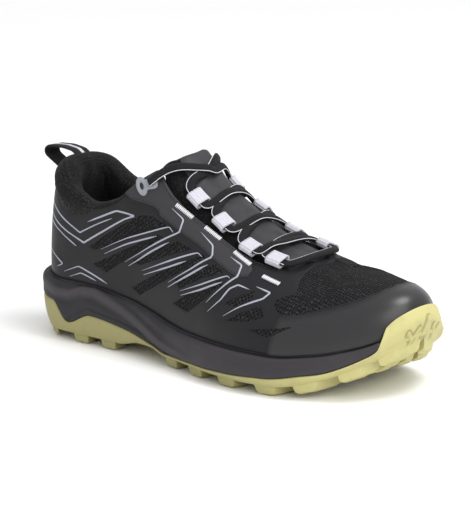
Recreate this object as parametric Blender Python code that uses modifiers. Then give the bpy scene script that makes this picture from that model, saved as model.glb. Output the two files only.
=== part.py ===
# Trail running shoe, right foot, at its real size in metres.
# The shoe's own frame has +X towards the toe, -Y on the lateral side and +Z up, with the heel's back
# at x = 0. An empty then carries every piece so that the box's bottom centre lies at the origin.
import math

import bmesh
import bpy
import numpy as np
from mathutils import Matrix, Vector

# Whole shoe
SOLE_LENGTH = 0.285
BALL_WIDTH = 0.104
INSTEP_HEIGHT = 0.100
COLLAR_HEIGHT = 0.108
FIT = 0.0003

# Sole
LUG_DEPTH = 0.0053
RUBBER_BASE = 0.0022
RUBBER_WALL = 0.0018
RUBBER_EDGE = 0.0008
TOE_LAP = 0.0034
HEEL_STACK = 0.0195
BALL_STACK = 0.0105
TOE_STACK = 0.0035
TOE_SPRING = 0.031
HEEL_BEVEL = 0.005
ARCH_LIFT = 0.003
FOAM_EDGE = 0.0006
RIM_LIP = 0.0016
SIDE_GROOVE = 0.0012
RIM_RISE = 0.0010
INSOLE_THICKNESS = 0.0040

# Upper
WALL = 0.0020
COLLAR_PADDING = 0.0060
OVERLAY_STEP = 0.0007
STEP_RUN = 0.0010
PADDING_RAMP = 0.012

# Tongue
TONGUE_THICKNESS = 0.0050
TONGUE_HALF = 0.0285
TONGUE_NECK = 0.0200
TONGUE_TUCK = 0.0014

# Lacing
LACE_WIDTH = 0.0050
LACE_THICKNESS = 0.0020
LACE_STRAIGHT = 0.0018
LACE_BEND = 0.0220
LOOP_LENGTH = 0.0095
LOOP_WIDTH = 0.0100
LOOP_HEIGHT = 0.0052
LOOP_WALL = 0.0011
LACE_LIFT = LOOP_HEIGHT / 2 + 2 * FIT
PLATE_RADIUS = 0.0048
PLATE_HOLE = 0.0017
PLATE_THICKNESS = 0.0012
PLATE_NECK = 0.0135
PLATE_LIFT = 0.0006

# Pull loop at the heel
PULL_WIDTH = 0.0120
PULL_THICKNESS = 0.0016
PULL_REACH = 0.0250
PULL_GAP = 0.0065
PULL_SAG = 0.0010

# Shares of SOLE_LENGTH at which the outline's heel and toe rounds begin, and their superellipse powers
HEEL_AXIS = 0.13
TOE_AXIS = 0.79
HEEL_ROUND = 2.6
TOE_ROUND = 2.25

# Shares of SOLE_LENGTH at the throat's top corners, where its edges turn in, and at its front end
THROAT_TOP = 0.366
THROAT_TURN = 0.692
THROAT_END = 0.732

# Shares of SOLE_LENGTH at the ends of the ramps of the heel's bevel, arch, stack, toe spring and bumper
HEEL_BEVEL_END = 0.11
ARCH_RISE = (0.28, 0.35)
ARCH_FALL = (0.39, 0.45)
BALL_RAMP = (0.20, 0.62)
SPRING_START = 0.74
TOE_RAMP = (0.78, 0.98)
FOAM_END = (0.932, 0.9555)
LAP_RAMP = (0.956, 0.974)

# Shares of SOLE_LENGTH at the tongue's corners, its front end and the ends of its ramps. "dip" is how
# far the middle of its top edge lies in front of its corners.
TONGUE_START = 0.362
TONGUE_DIP = 0.035
TONGUE_FRONT = 0.745
TONGUE_WIDEN = (0.362, 0.415)
TONGUE_SINK = (0.56, 0.66)

# How high the tray's shoulder stands as a share of RUBBER_BASE, and the parts of the tuck at its lines
SHOULDER = 1.1
SHOULDER_PART = 0.30
EDGE_PART = 0.75
TRAY_PART = 0.27

# Parts of the foam's side from the rubber up to the rim: its fullest line, the groove's lower edge, its
# bottom and its upper edge, and the line where the side leans in
SIDE_PARTS = (0.18, 0.32, 0.38, 0.48, 0.80)
SIDE_LEAN = 0.35

# A row for each section along the sole. "outer", "inner", "spine" and "crown_y" are shares of BALL_WIDTH:
# the lateral and medial half widths, the centre line and the crown's offset from it. "crown" is a share
# of INSTEP_HEIGHT above the footbed, "round" is the arch's power, and "inset" and "tuck" are how far the
# upper and the tread's edge stand inside the outline, as shares of BALL_WIDTH.
SECTIONS = (
    ("at", "outer", "inner", "spine", "crown_y", "crown", "round", "inset", "tuck"),
    (0.000, 0.345, 0.345, 0.000, 0.000, 1.000, 2.30, 0.058, 0.045),
    (0.100, 0.350, 0.350, 0.000, 0.000, 1.160, 2.30, 0.048, 0.030),
    (0.203, 0.355, 0.350, 0.000, 0.010, 1.200, 2.30, 0.043, 0.028),
    (0.325, 0.368, 0.320, 0.000, 0.020, 1.100, 2.30, 0.040, 0.028),
    (0.366, 0.382, 0.310, 0.000, 0.030, 1.030, 2.30, 0.040, 0.028),
    (0.458, 0.435, 0.315, 0.005, 0.035, 0.790, 2.40, 0.043, 0.028),
    (0.534, 0.488, 0.355, 0.010, 0.040, 0.670, 2.35, 0.048, 0.028),
    (0.610, 0.540, 0.405, 0.015, 0.045, 0.570, 2.30, 0.053, 0.028),
    (0.690, 0.560, 0.450, 0.020, 0.050, 0.510, 2.20, 0.053, 0.028),
    (0.763, 0.545, 0.460, 0.025, 0.060, 0.460, 2.15, 0.048, 0.028),
    (0.833, 0.492, 0.440, 0.030, 0.060, 0.415, 2.25, 0.043, 0.035),
    (0.912, 0.430, 0.395, 0.033, 0.040, 0.375, 2.55, 0.045, 0.055),
    (1.000, 0.385, 0.350, 0.026, 0.000, 0.335, 2.80, 0.054, 0.085),
)

# Lines along the sole's side. "rubber" and "rim" are the rubber's top and the foam's rim, as heights
# above the sole line and shares of HEEL_STACK. "cap" and "band" are the upper's overlays: the toe cap's
# height as a share of the arch's whole run, and the eyestay's or collar band's width as a share of
# BALL_WIDTH.
SIDE = (
    ("at", "rubber", "rim", "cap", "band"),
    (0.000, 1.20, 1.92, 0.090, 0.155),
    (0.045, 1.20, 1.92, 0.090, 0.150),
    (0.085, 1.22, 1.92, 0.090, 0.130),
    (0.134, 0.63, 1.92, 0.090, 0.110),
    (0.204, 0.97, 1.91, 0.090, 0.100),
    (0.300, 0.83, 1.77, 0.095, 0.130),
    (0.400, 0.56, 1.52, 0.108, 0.210),
    (0.450, 0.42, 1.36, 0.118, 0.205),
    (0.510, 0.42, 1.25, 0.130, 0.200),
    (0.660, 0.46, 1.20, 0.190, 0.190),
    (0.740, 0.52, 1.18, 0.270, 0.100),
    (0.810, 0.55, 1.13, 0.420, 0.050),
    (0.880, 0.44, 0.96, 0.540, 0.050),
    (0.935, 0.42, 0.77, 0.590, 0.050),
    (0.955, 0.46, 0.72, 0.600, 0.050),
    (0.975, 1.10, 0.70, 0.600, 0.050),
    (1.000, 1.18, 0.70, 0.600, 0.050),
)

# The collar's rim: "dip" below COLLAR_HEIGHT as a share of it, and "rise" towards the throat's corner.
COLLAR = (
    ("at", "dip", "rise"),
    (0.000, 0.000, 0.00),
    (0.050, 0.035, 0.00),
    (0.120, 0.140, 0.00),
    (0.200, 0.205, 0.00),
    (0.270, 0.160, 0.10),
    (0.335, 0.045, 0.60),
    (0.366, 0.000, 1.00),
)

# The throat as shares of BALL_WIDTH: "outer" and "inner" are its edges' half widths on the lateral and
# medial sides, and "lacing" is the half width of the line that the loops and top eyelets are set out from.
THROAT = (
    ("at", "outer", "inner", "lacing"),
    (0.366, 0.205, 0.178, 0.178),
    (0.420, 0.226, 0.182, 0.182),
    (0.510, 0.224, 0.188, 0.188),
    (0.630, 0.230, 0.216, 0.216),
    (0.692, 0.212, 0.207, 0.207),
    (0.716, 0.130, 0.130, 0.130),
    (0.732, 0.000, 0.000, 0.000),
)

# Where the webbing loops lie along the shoe, from the top pair to the bottom pair.
LATERAL_LOOPS = (0.463, 0.533, 0.614, 0.681)
MEDIAL_LOOPS = (0.442, 0.516, 0.598, 0.688)
LACE_TOPS = (0.432, 0.436)
LACE_TOP_LEAN = 0.30
PLATE_AT = 0.340
PLATE_DOWN = 0.200
PLATE_LEAN_X = 0.73
PLATE_LEAN_UP = 0.683

# Rows of lugs: where a row's inner end lies along the shoe, its length, the spans across as shares of the
# tread's half width, and how far it leans towards the toe from its inner to its outer end.
LUGS = (
    (0.036, 0.042, ((0.10, 0.98),), 0.028),
    (0.143, 0.046, ((0.10, 0.46), (0.58, 1.00)), 0.022),
    (0.228, 0.046, ((0.10, 0.46), (0.58, 1.00)), 0.022),
    (0.474, 0.040, ((0.56, 1.00),), -0.014),
    (0.563, 0.048, ((0.08, 0.42), (0.54, 1.00)), -0.018),
    (0.663, 0.050, ((0.08, 0.42), (0.54, 1.00)), -0.018),
    (0.763, 0.050, ((0.08, 0.42), (0.54, 1.00)), -0.018),
    (0.845, 0.044, ((0.08, 0.42), (0.54, 1.00)), -0.020),
    (0.918, 0.036, ((0.08, 0.42), (0.54, 0.98)), -0.022),
    (0.968, 0.026, ((0.12, 0.90),), -0.022),
)
LUG_TAPER = 0.12
LUG_ROOT = 0.0012

# Faceting: steps round the heel, along the collar, throat, vamp and toe, and over the small pieces
HEEL_STEPS = 7
COLLAR_STEPS = 6
THROAT_STEPS = 8
TURN_STEPS = 3
VAMP_STEPS = 2
TOE_STEPS = 9
ARCH_SAMPLES = 240
LACE_STEP = 0.0050
LACE_SIDES = 8
TONGUE_ROWS = 16
TONGUE_COLUMNS = 10
PLATE_SIDES = 12
HOLE_SIDES = 10
BEND_STEPS = 6
LOOP_STEPS = 5


def read(table, column, share):
    """A column's value at a share of the length, as a smooth curve that never overshoots its rows."""
    at = np.array([row[0] for row in table[1:]])
    value = np.array([row[table[0].index(column)] for row in table[1:]])
    step = np.diff(at)
    slope = np.diff(value) / step
    tangent = np.concatenate([[slope[0]], np.zeros(len(at) - 2), [slope[-1]]])
    same = slope[:-1] * slope[1:] > 0
    tangent[1:-1][same] = 2 * slope[:-1][same] * slope[1:][same] / (slope[:-1] + slope[1:])[same]
    share = np.clip(np.asarray(share, float), at[0], at[-1])
    i = np.clip(np.searchsorted(at, share, side="right") - 1, 0, len(at) - 2)
    t = (share - at[i]) / step[i]
    left = (2 * t**3 - 3 * t**2 + 1) * value[i] + (t**3 - 2 * t**2 + t) * step[i] * tangent[i]
    right = (3 * t**2 - 2 * t**3) * value[i + 1] + (t**3 - t**2) * step[i] * tangent[i + 1]
    return left + right


def smooth(t):
    t = np.clip(t, 0, 1)
    return t * t * (3 - 2 * t)


def ramp(share, ends):
    """A smooth step from 0 to 1 between two shares of the length."""
    return smooth((share - ends[0]) / (ends[1] - ends[0]))


def sole_line(share):
    """Height of the lugs' tips: flat, but for the toe spring and the heel's bevel."""
    toe = np.clip((share - SPRING_START) / (1 - SPRING_START), 0, None)
    heel = np.clip((HEEL_BEVEL_END - share) / HEEL_BEVEL_END, 0, None)
    return TOE_SPRING * toe**2 + HEEL_BEVEL * heel**2


def underside(share):
    """Height of the rubber between the lugs."""
    lifted = ramp(share, ARCH_RISE) * (1 - ramp(share, ARCH_FALL))
    return sole_line(share) + LUG_DEPTH + ARCH_LIFT * lifted


def tray_floor(share):
    return underside(share) + RUBBER_BASE


def footbed(share):
    """Height of the midsole's top, on which the upper and the insole stand."""
    stack = HEEL_STACK + (BALL_STACK - HEEL_STACK) * ramp(share, BALL_RAMP)
    stack = stack + (TOE_STACK - stack) * ramp(share, TOE_RAMP)
    return sole_line(share) + LUG_DEPTH + RUBBER_BASE + stack


def side_height(column, share):
    return sole_line(share) + HEEL_STACK * read(SIDE, column, share)


def stations():
    """(share, how open the outline is there) from the heel's back to the toe's tip."""
    found = []
    for k in range(HEEL_STEPS):
        angle = math.pi / 2 * (1 - k / HEEL_STEPS)
        wide = math.cos(angle) ** (2 / HEEL_ROUND) if k else 0.0
        found.append((HEEL_AXIS * (1 - math.sin(angle) ** (2 / HEEL_ROUND)), wide))
    spans = (
        (HEEL_AXIS, THROAT_TOP, COLLAR_STEPS),
        (THROAT_TOP, THROAT_TURN, THROAT_STEPS),
        (THROAT_TURN, THROAT_END, TURN_STEPS),
        (THROAT_END, TOE_AXIS, VAMP_STEPS),
    )
    for start, end, steps in spans:
        found += [(start + (end - start) * k / steps, 1.0) for k in range(steps)]
    for k in range(TOE_STEPS + 1):
        angle = math.pi / 2 * k / TOE_STEPS
        wide = math.cos(angle) ** (2 / TOE_ROUND) if k < TOE_STEPS else 0.0
        found.append((TOE_AXIS + (1 - TOE_AXIS) * math.sin(angle) ** (2 / TOE_ROUND), wide))
    return found


class Ring:
    """The sole's outline in plan: columns down the lateral side to the toe and back up the medial side."""

    def __init__(self):
        along = stations()
        self.count = 2 * len(along) - 2
        self.side = np.array([-1.0] * len(along) + [1.0] * (len(along) - 2))
        both = along + along[-2:0:-1]
        self.share = np.array([share for share, wide in both])
        wide = np.array([wide for share, wide in both])
        outer = read(SECTIONS, "outer", self.share)
        inner = read(SECTIONS, "inner", self.share)
        half = np.where(self.side < 0, outer, inner) * wide
        y = BALL_WIDTH * (read(SECTIONS, "spine", self.share) + self.side * half)
        self.edge = np.stack([SOLE_LENGTH * self.share, y], 1)
        tangent = np.roll(self.edge, -1, 0) - np.roll(self.edge, 1, 0)
        tangent /= np.linalg.norm(tangent, axis=1)[:, None]
        self.inward = np.stack([-tangent[:, 1], tangent[:, 0]], 1)

    def partner(self, i):
        """The column across the shoe at the same place along it."""
        return (self.count - i) % self.count

    def inset(self, i, by):
        return self.edge[i] + self.inward[i] * by

    def level(self, by, height, lean=None):
        """A closed line: each column inset by by(share) and its own lean, at the height where it lies."""
        lean = lean or [0.0] * self.count
        spots = [self.inset(i, by(self.share[i]) + lean[i]) for i in range(self.count)]
        return [(*spot, float(height(spot[0] / SOLE_LENGTH))) for spot in spots]

    def side_line(self, by, height):
        """As level, but each column keeps the height above the sole line that it has at the outline."""
        rise = height(self.share) - sole_line(self.share)
        line = self.level(by, sole_line)
        return [(x, y, z + float(more)) for (x, y, z), more in zip(line, rise)]


RING = Ring()


def crown_at(share):
    y = read(SECTIONS, "spine", share) + read(SECTIONS, "crown_y", share)
    return np.array([SOLE_LENGTH * share, BALL_WIDTH * y])


def upper_inset(share):
    return BALL_WIDTH * read(SECTIONS, "inset", share)


def arch(i):
    """Dense points of a column's arch, from the feather edge to the crown, with their outward normals."""
    share = RING.share[i]
    edge = RING.inset(i, upper_inset(share))
    crown = crown_at(np.clip(share, HEEL_AXIS, TOE_AXIS))
    power = read(SECTIONS, "round", share)
    angle = np.linspace(0, math.pi / 2, ARCH_SAMPLES)
    out = np.cos(angle).clip(0) ** (2 / power)
    up = np.sin(angle) ** (2 / power)
    plan = crown + (edge - crown) * out[:, None]
    along = plan[:, 0] / SOLE_LENGTH
    z = footbed(along) + INSTEP_HEIGHT * read(SECTIONS, "crown", along) * up
    points = np.column_stack([plan, z])
    outward = (edge - crown) / np.linalg.norm(edge - crown)
    slope = np.gradient(points, axis=0)
    run = slope[:, :2] @ outward
    normal = np.column_stack([outward[0] * slope[:, 2], outward[1] * slope[:, 2], -run])
    return points, normal / np.linalg.norm(normal, axis=1)[:, None]


def arch_lean(i, above):
    """How far a column's arch has leaned in from its feather edge, at a height above it."""
    points, _ = arch(i)
    spot = [np.interp(points[0, 2] + above, points[:, 2], points[:, k]) for k in (0, 1)]
    return float(np.hypot(*(spot - points[0, :2])))


def instep(share, y):
    """Height of the ideal instep surface over a point of the throat."""
    crown = crown_at(share)
    side = -1 if y < crown[1] else 1
    half = BALL_WIDTH * read(SECTIONS, "outer" if side < 0 else "inner", share)
    edge = BALL_WIDTH * read(SECTIONS, "spine", share) + side * (half - upper_inset(share))
    out = min(abs(y - crown[1]) / abs(edge - crown[1]), 1)
    power = read(SECTIONS, "round", share)
    rise = (1 - out**power) ** (1 / power)
    return footbed(share) + INSTEP_HEIGHT * read(SECTIONS, "crown", share) * rise


def instep_frame(share, y):
    """A point on the ideal instep surface, its normal, and its directions along and across."""
    step = 0.0005
    here = Vector((SOLE_LENGTH * share, y, instep(share, y)))
    ahead = share + step / SOLE_LENGTH
    along = Vector((step, 0, instep(ahead, y) - here.z)).normalized()
    across = Vector((0, step, instep(share, y + step) - here.z)).normalized()
    normal = along.cross(across).normalized()
    return here, normal, along, across


def throat_half(share, side):
    return BALL_WIDTH * read(THROAT, "outer" if side < 0 else "inner", share)


def beside_throat(share, side, run):
    """The instep surface's frame at a distance down its arch from the lacing line, on one side."""
    crown = crown_at(share)[1]
    half = BALL_WIDTH * read(SECTIONS, "outer" if side < 0 else "inner", share) - upper_inset(share)
    edge = BALL_WIDTH * read(SECTIONS, "spine", share) + side * half
    across = np.linspace(crown, edge, ARCH_SAMPLES)
    high = np.array([instep(share, y) for y in across])
    down = np.concatenate([[0], np.cumsum(np.hypot(np.diff(across), np.diff(high)))])
    start = np.interp(BALL_WIDTH * read(THROAT, "lacing", share), side * across, down)
    return instep_frame(share, float(np.interp(start + run, down, across)))


def collar_height(share):
    corner = instep(THROAT_TOP, -throat_half(THROAT_TOP, -1))
    dip = COLLAR_HEIGHT * (1 - read(COLLAR, "dip", share))
    return dip + (corner - COLLAR_HEIGHT) * read(COLLAR, "rise", share)


def top_index(i, points):
    """Where a column's arch ends: at the collar's rim, the throat's edge or the crown."""
    share = RING.share[i]
    last = len(points) - 1
    if share < THROAT_TOP:
        return min(int(np.searchsorted(points[:, 2], collar_height(share))), last)
    if share < THROAT_END:
        inside = np.abs(points[:, 1]) <= throat_half(share, RING.side[i])
        return int(np.argmax(inside)) if inside.any() else last
    return last


def upper_column(i):
    """A column's points and how padded each is, with the overlays standing proud of the mesh."""
    points, normal = arch(i)
    share = RING.share[i]
    run = np.concatenate([[0], np.cumsum(np.linalg.norm(np.diff(points, axis=0), axis=1))])
    top = run[top_index(i, points)]
    cap = min(run[-1] * read(SIDE, "cap", share), 0.62 * top)
    band = top - min(BALL_WIDTH * read(SIDE, "band", share), 0.3 * top)
    banded = 1 - smooth((share - THROAT_TURN) / (THROAT_END - THROAT_TURN))
    low = cap * np.array([0, 0.12, 0.50, 1])
    mesh = np.linspace(cap + STEP_RUN, band - STEP_RUN, 5)
    high = np.linspace(band, top, 4)
    at = np.concatenate([low, mesh, high])
    step = np.concatenate([np.zeros(4), np.ones(5), np.full(4, 1 - banded)])
    where = np.stack([np.interp(at, run, points[:, k]) for k in range(3)], 1)
    facing = np.stack([np.interp(at, run, normal[:, k]) for k in range(3)], 1)
    low_end = band - 2 / 3 * PADDING_RAMP
    padded = smooth((at - low_end) / PADDING_RAMP) * (1 - ramp(share, (THROAT_TOP - 0.03, THROAT_TOP)))
    return where - facing * (OVERLAY_STEP * step)[:, None], padded


def material(name, colour, roughness, metallic=0.0):
    found = bpy.data.materials.get(name) or bpy.data.materials.new(name)
    found.use_nodes = True
    shader = found.node_tree.nodes["Principled BSDF"]
    shader.inputs["Base Color"].default_value = (*colour, 1)
    shader.inputs["Roughness"].default_value = roughness
    shader.inputs["Metallic"].default_value = metallic
    return found


def piece(name, mesh, paint, collection):
    """An object of its own in a collection, painted if it has a material."""
    made = bpy.data.objects.new(name, mesh)
    collection.objects.link(made)
    if paint:
        mesh.materials.append(paint)
    return made


def outward(bm):
    """Sews the faces together and turns them outward."""
    bmesh.ops.remove_doubles(bm, verts=bm.verts, dist=1e-6)
    bmesh.ops.recalc_face_normals(bm, faces=bm.faces)


def loft_mesh(name, lines, floor=False, ceiling=False):
    """A skin over closed lines round the shoe. Its first and last line may be closed across the shoe."""
    bm = bmesh.new()
    rows = [[bm.verts.new(point) for point in line] for line in lines]
    count = len(rows[0])
    for low, high in zip(rows[:-1], rows[1:]):
        for i in range(count):
            bm.faces.new((low[i], low[(i + 1) % count], high[(i + 1) % count], high[i]))
    for row, wanted in ((rows[0], floor), (rows[-1], ceiling)):
        if not wanted:
            continue
        for i in range(count // 2):
            corners = [row[i], row[i + 1], row[RING.partner(i + 1)], row[RING.partner(i)]]
            bm.faces.new(list(dict.fromkeys(corners)))
    outward(bm)
    mesh = bpy.data.meshes.new(name)
    bm.to_mesh(mesh)
    bm.free()
    return mesh


def sweep_mesh(name, path, up, half_width, half_height, sides):
    """An oval tube along a path, its broad side square to the direction up."""
    bm = bmesh.new()
    rows = []
    for k, point in enumerate(path):
        ahead = path[min(k + 1, len(path) - 1)]
        behind = path[max(k - 1, 0)]
        forward = (ahead - behind).normalized()
        across = forward.cross(up[k]).normalized()
        rise = across.cross(forward).normalized()
        row = []
        for j in range(sides):
            angle = 2 * math.pi * (j + 0.5) / sides
            offset = across * half_width * math.cos(angle) + rise * half_height * math.sin(angle)
            row.append(bm.verts.new(point + offset))
        rows.append(row)
    for low, high in zip(rows[:-1], rows[1:]):
        for j in range(sides):
            bm.faces.new((low[j], low[(j + 1) % sides], high[(j + 1) % sides], high[j]))
    bm.faces.new(rows[0])
    bm.faces.new(rows[-1])
    outward(bm)
    mesh = bpy.data.meshes.new(name)
    bm.to_mesh(mesh)
    bm.free()
    return mesh


def tuck(share):
    return BALL_WIDTH * read(SECTIONS, "tuck", share)


def tray_inset(share):
    """How far the foot of the rubber's inner wall stands inside the outline."""
    return RUBBER_WALL + TRAY_PART * tuck(share)


def toe_lap(share):
    """How far the rubber's top leans in over the toe."""
    return TOE_LAP * ramp(share, LAP_RAMP)


def rubber_top(share):
    return np.maximum(side_height("rubber", share), tray_floor(share) + FIT)


def make_outsole(parts, cutters, paint):
    """The rubber tray, which laps up the heel and the toe, joined to its lugs."""

    def shoulder(share):
        rise = side_height("rubber", share) - underside(share)
        return underside(share) + np.minimum(SHOULDER_PART * rise, SHOULDER * RUBBER_BASE)

    edge = RUBBER_EDGE / 2
    lines = [
        RING.level(lambda share: tuck(share) + RUBBER_EDGE, underside),
        RING.level(lambda share: EDGE_PART * tuck(share), lambda share: underside(share) + RUBBER_EDGE),
        RING.level(lambda share: SHOULDER_PART * tuck(share), shoulder),
        RING.side_line(lambda share: edge, lambda share: 0.5 * (shoulder(share) + rubber_top(share))),
        RING.side_line(lambda share: edge + toe_lap(share), rubber_top),
        RING.side_line(lambda share: RUBBER_WALL + toe_lap(share), rubber_top),
        RING.level(tray_inset, tray_floor),
    ]
    sole = piece("outsole", loft_mesh("outsole", lines, floor=True, ceiling=True), paint, parts)
    lugs = piece("lug_blocks", lug_mesh(), None, cutters)
    join(sole, lugs)
    return sole


def lug_mesh():
    """Tapered blocks under the rubber, row by row, mirrored about the tread's centre line."""
    bm = bmesh.new()
    for at, long, spans, sweep in LUGS:
        for side in (-1, 1):
            for span in spans:
                lug(bm, at, long, span, sweep, side)
    bmesh.ops.recalc_face_normals(bm, faces=bm.faces)
    mesh = bpy.data.meshes.new("lug_blocks")
    bm.to_mesh(mesh)
    bm.free()
    return mesh


def tread_point(share, across):
    """A point of the tread, at a share of the half width on one side."""
    lateral = across < 0
    half = read(SECTIONS, "outer" if lateral else "inner", share)
    wide = 1.0
    if share < HEEL_AXIS:
        rest = 1 - share / HEEL_AXIS
        wide = (1 - rest**HEEL_ROUND) ** (1 / HEEL_ROUND)
    if share > TOE_AXIS:
        rest = (share - TOE_AXIS) / (1 - TOE_AXIS)
        wide = (1 - rest**TOE_ROUND) ** (1 / TOE_ROUND)
    reach = BALL_WIDTH * half * wide - tuck(share)
    y = BALL_WIDTH * read(SECTIONS, "spine", share) + across * reach
    return SOLE_LENGTH * share, y


def lug(bm, at, long, span, sweep, side):
    """One block from inside the rubber down to the sole line, its foot tapered."""
    near, far = span
    for vert in bmesh.ops.create_cube(bm, size=1.0)["verts"]:
        ahead, outer, high = (value > 0 for value in vert.co)
        shrink = 0 if high else LUG_TAPER
        pinch = shrink * (far - near) / 2
        across = far - pinch if outer else near + pinch
        reach = long * (1 - shrink) / 2
        share = at + (reach if ahead else -reach) + sweep * (far if outer else near)
        x, y = tread_point(share, side * across)
        z = underside(share) + LUG_ROOT if high else sole_line(share)
        vert.co = (x, y, z)


def join(target, tool):
    """Joins a helper solid to a piece, and hides the helper."""
    modifier = target.modifiers.new("Join " + tool.name, "BOOLEAN")
    modifier.operation = "UNION"
    modifier.solver = "EXACT"
    modifier.object = tool
    tool.hide_render = True
    tool.display_type = "WIRE"


def make_midsole(parts, paint):
    """The foam: a cup round the upper's foot, with a groove along its side, seated in the rubber tray."""

    def inside(share):
        """How far the foam has drawn in behind the toe's rubber."""
        return ramp(share, FOAM_END)

    def seat(share):
        on_rubber = rubber_top(share) + FIT
        in_tray = tray_floor(share) + 3 * FIT
        return on_rubber + (in_tray - on_rubber) * inside(share)

    def rim(share):
        lip = np.maximum(side_height("rim", share), rubber_top(share) + FIT + RIM_RISE)
        return lip + (footbed(share) + FIT - lip) * inside(share)

    def at_side(part):
        return lambda share: seat(share) + (rim(share) - seat(share)) * part

    def drawn(base):
        """An inset that ends up just outside the upper's foot, behind the toe's rubber."""
        return lambda share: base(share) + (upper_inset(share) - 2 * FIT - base(share)) * inside(share)

    def rim_inset(share):
        return upper_inset(share) - FIT - RIM_LIP

    def under_upper(share):
        return upper_inset(share) - FIT

    full, groove_low, groove, groove_high, lean = SIDE_PARTS
    lines = [
        RING.level(lambda share: tray_inset(share) + 2 * FIT, lambda share: tray_floor(share) + FIT),
        RING.side_line(drawn(lambda share: RUBBER_WALL + 2 * FIT), seat),
        RING.side_line(drawn(lambda share: FOAM_EDGE), seat),
        RING.side_line(drawn(lambda share: 0 * share), at_side(full)),
        RING.side_line(drawn(lambda share: FOAM_EDGE / 2), at_side(groove_low)),
        RING.side_line(drawn(lambda share: SIDE_GROOVE), at_side(groove)),
        RING.side_line(drawn(lambda share: FOAM_EDGE / 3), at_side(groove_high)),
        RING.side_line(drawn(lambda share: SIDE_LEAN * rim_inset(share)), at_side(lean)),
        RING.side_line(drawn(rim_inset), rim),
        RING.side_line(under_upper, rim),
        RING.level(under_upper, lambda share: footbed(share) - FIT),
    ]
    return piece("midsole", loft_mesh("midsole", lines, floor=True, ceiling=True), paint, parts)


def make_insole(parts, paint):
    """The sock liner, lying inside the upper on the foam."""

    def inset(share):
        return upper_inset(share) + WALL + 3 * FIT

    def top(share):
        return footbed(share) + INSOLE_THICKNESS

    lean = [arch_lean(i, INSOLE_THICKNESS + WALL) for i in range(RING.count)]
    lines = [
        RING.level(inset, footbed),
        RING.level(lambda share: inset(share) + FIT, top, lean),
    ]
    return piece("insole", loft_mesh("insole", lines, floor=True, ceiling=True), paint, parts)


def make_upper(parts, paint):
    """The upper as one open skin with a thickness: open underneath, at the collar and at the throat."""
    columns = [upper_column(i) for i in range(RING.count)]
    bm = bmesh.new()
    weight = bm.verts.layers.deform.verify()
    rows = len(columns[0][0])
    grid = []
    for points, padded in columns:
        grid.append([bm.verts.new(point) for point in points])
        for vert, amount in zip(grid[-1], padded):
            vert[weight][0] = float(amount)
    for i in range(RING.count):
        right, left = grid[i], grid[(i + 1) % RING.count]
        for k in range(rows - 1):
            bm.faces.new((right[k], left[k], left[k + 1], right[k + 1]))
    bmesh.ops.remove_doubles(bm, verts=bm.verts, dist=2e-5)
    mesh = bpy.data.meshes.new("upper")
    bm.to_mesh(mesh)
    bm.free()
    mesh.shade_smooth()
    made = piece("upper", mesh, paint, parts)
    made.vertex_groups.new(name="padding")
    shell = made.modifiers.new("Wall", "SOLIDIFY")
    shell.thickness = COLLAR_PADDING
    shell.thickness_vertex_group = WALL / COLLAR_PADDING
    shell.vertex_group = "padding"
    shell.offset = -1
    return made


def make_tongue(parts, paint):
    """The tongue, a padded sheet just under the throat's edges, with an ear at each top corner."""
    bm = bmesh.new()
    clear = WALL + OVERLAY_STEP + 2 * FIT
    layers = []
    for depth in (clear, clear + TONGUE_THICKNESS):
        grid = []
        for k in range(TONGUE_ROWS + 1):
            row = []
            for j in range(TONGUE_COLUMNS + 1):
                across = 2 * j / TONGUE_COLUMNS - 1
                start = TONGUE_START + TONGUE_DIP * (1 - across**2)
                share = start + (TONGUE_FRONT - start) * k / TONGUE_ROWS
                half = TONGUE_NECK + (TONGUE_HALF - TONGUE_NECK) * ramp(share, TONGUE_WIDEN)
                here, normal, _, _ = instep_frame(share, across * half)
                below = depth + TONGUE_TUCK * ramp(share, TONGUE_SINK)
                row.append(bm.verts.new(here - normal * below))
            grid.append(row)
        layers.append(grid)
    top, bottom = layers
    for grid in layers:
        for k in range(TONGUE_ROWS):
            for j in range(TONGUE_COLUMNS):
                bm.faces.new((grid[k][j], grid[k][j + 1], grid[k + 1][j + 1], grid[k + 1][j]))
    for k in range(TONGUE_ROWS):
        for j in (0, TONGUE_COLUMNS):
            bm.faces.new((top[k][j], top[k + 1][j], bottom[k + 1][j], bottom[k][j]))
    for j in range(TONGUE_COLUMNS):
        for k in (0, TONGUE_ROWS):
            bm.faces.new((top[k][j], top[k][j + 1], bottom[k][j + 1], bottom[k][j]))
    outward(bm)
    mesh = bpy.data.meshes.new("tongue")
    bm.to_mesh(mesh)
    bm.free()
    mesh.shade_smooth()
    return piece("tongue", mesh, paint, parts)


def loop_seat(share, side):
    """A webbing loop's centre over the throat's edge, its normal, and its direction along the edge."""
    inboard = -0.30 * LOOP_WIDTH
    here, normal, _, _ = beside_throat(share, side, inboard)
    ahead = beside_throat(share + 0.01, side, inboard)[0]
    behind = beside_throat(share - 0.01, side, inboard)[0]
    edge = (ahead - behind).normalized()
    return here + normal * LACE_LIFT, normal, edge


def make_loop(name, share, side, parts, paint):
    """A flattened ring of webbing that the lace runs through, along the throat's edge."""
    centre, normal, edge = loop_seat(share, side)
    across = edge.cross(normal).normalized()
    curve = bpy.data.curves.new(name, "CURVE")
    curve.dimensions = "2D"
    curve.fill_mode = "BOTH"
    curve.extrude = LOOP_LENGTH / 2
    for shrink in (0, LOOP_WALL):
        add_stadium(curve, LOOP_WIDTH / 2 - shrink, LOOP_HEIGHT / 2 - shrink)
    made = from_curve(name, curve, parts, paint)
    turn = np.eye(4)
    turn[:3, 0] = across
    turn[:3, 1] = normal
    turn[:3, 2] = across.cross(normal)
    turn[:3, 3] = centre
    made.matrix_world = Matrix(turn.tolist())
    return made


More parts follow.
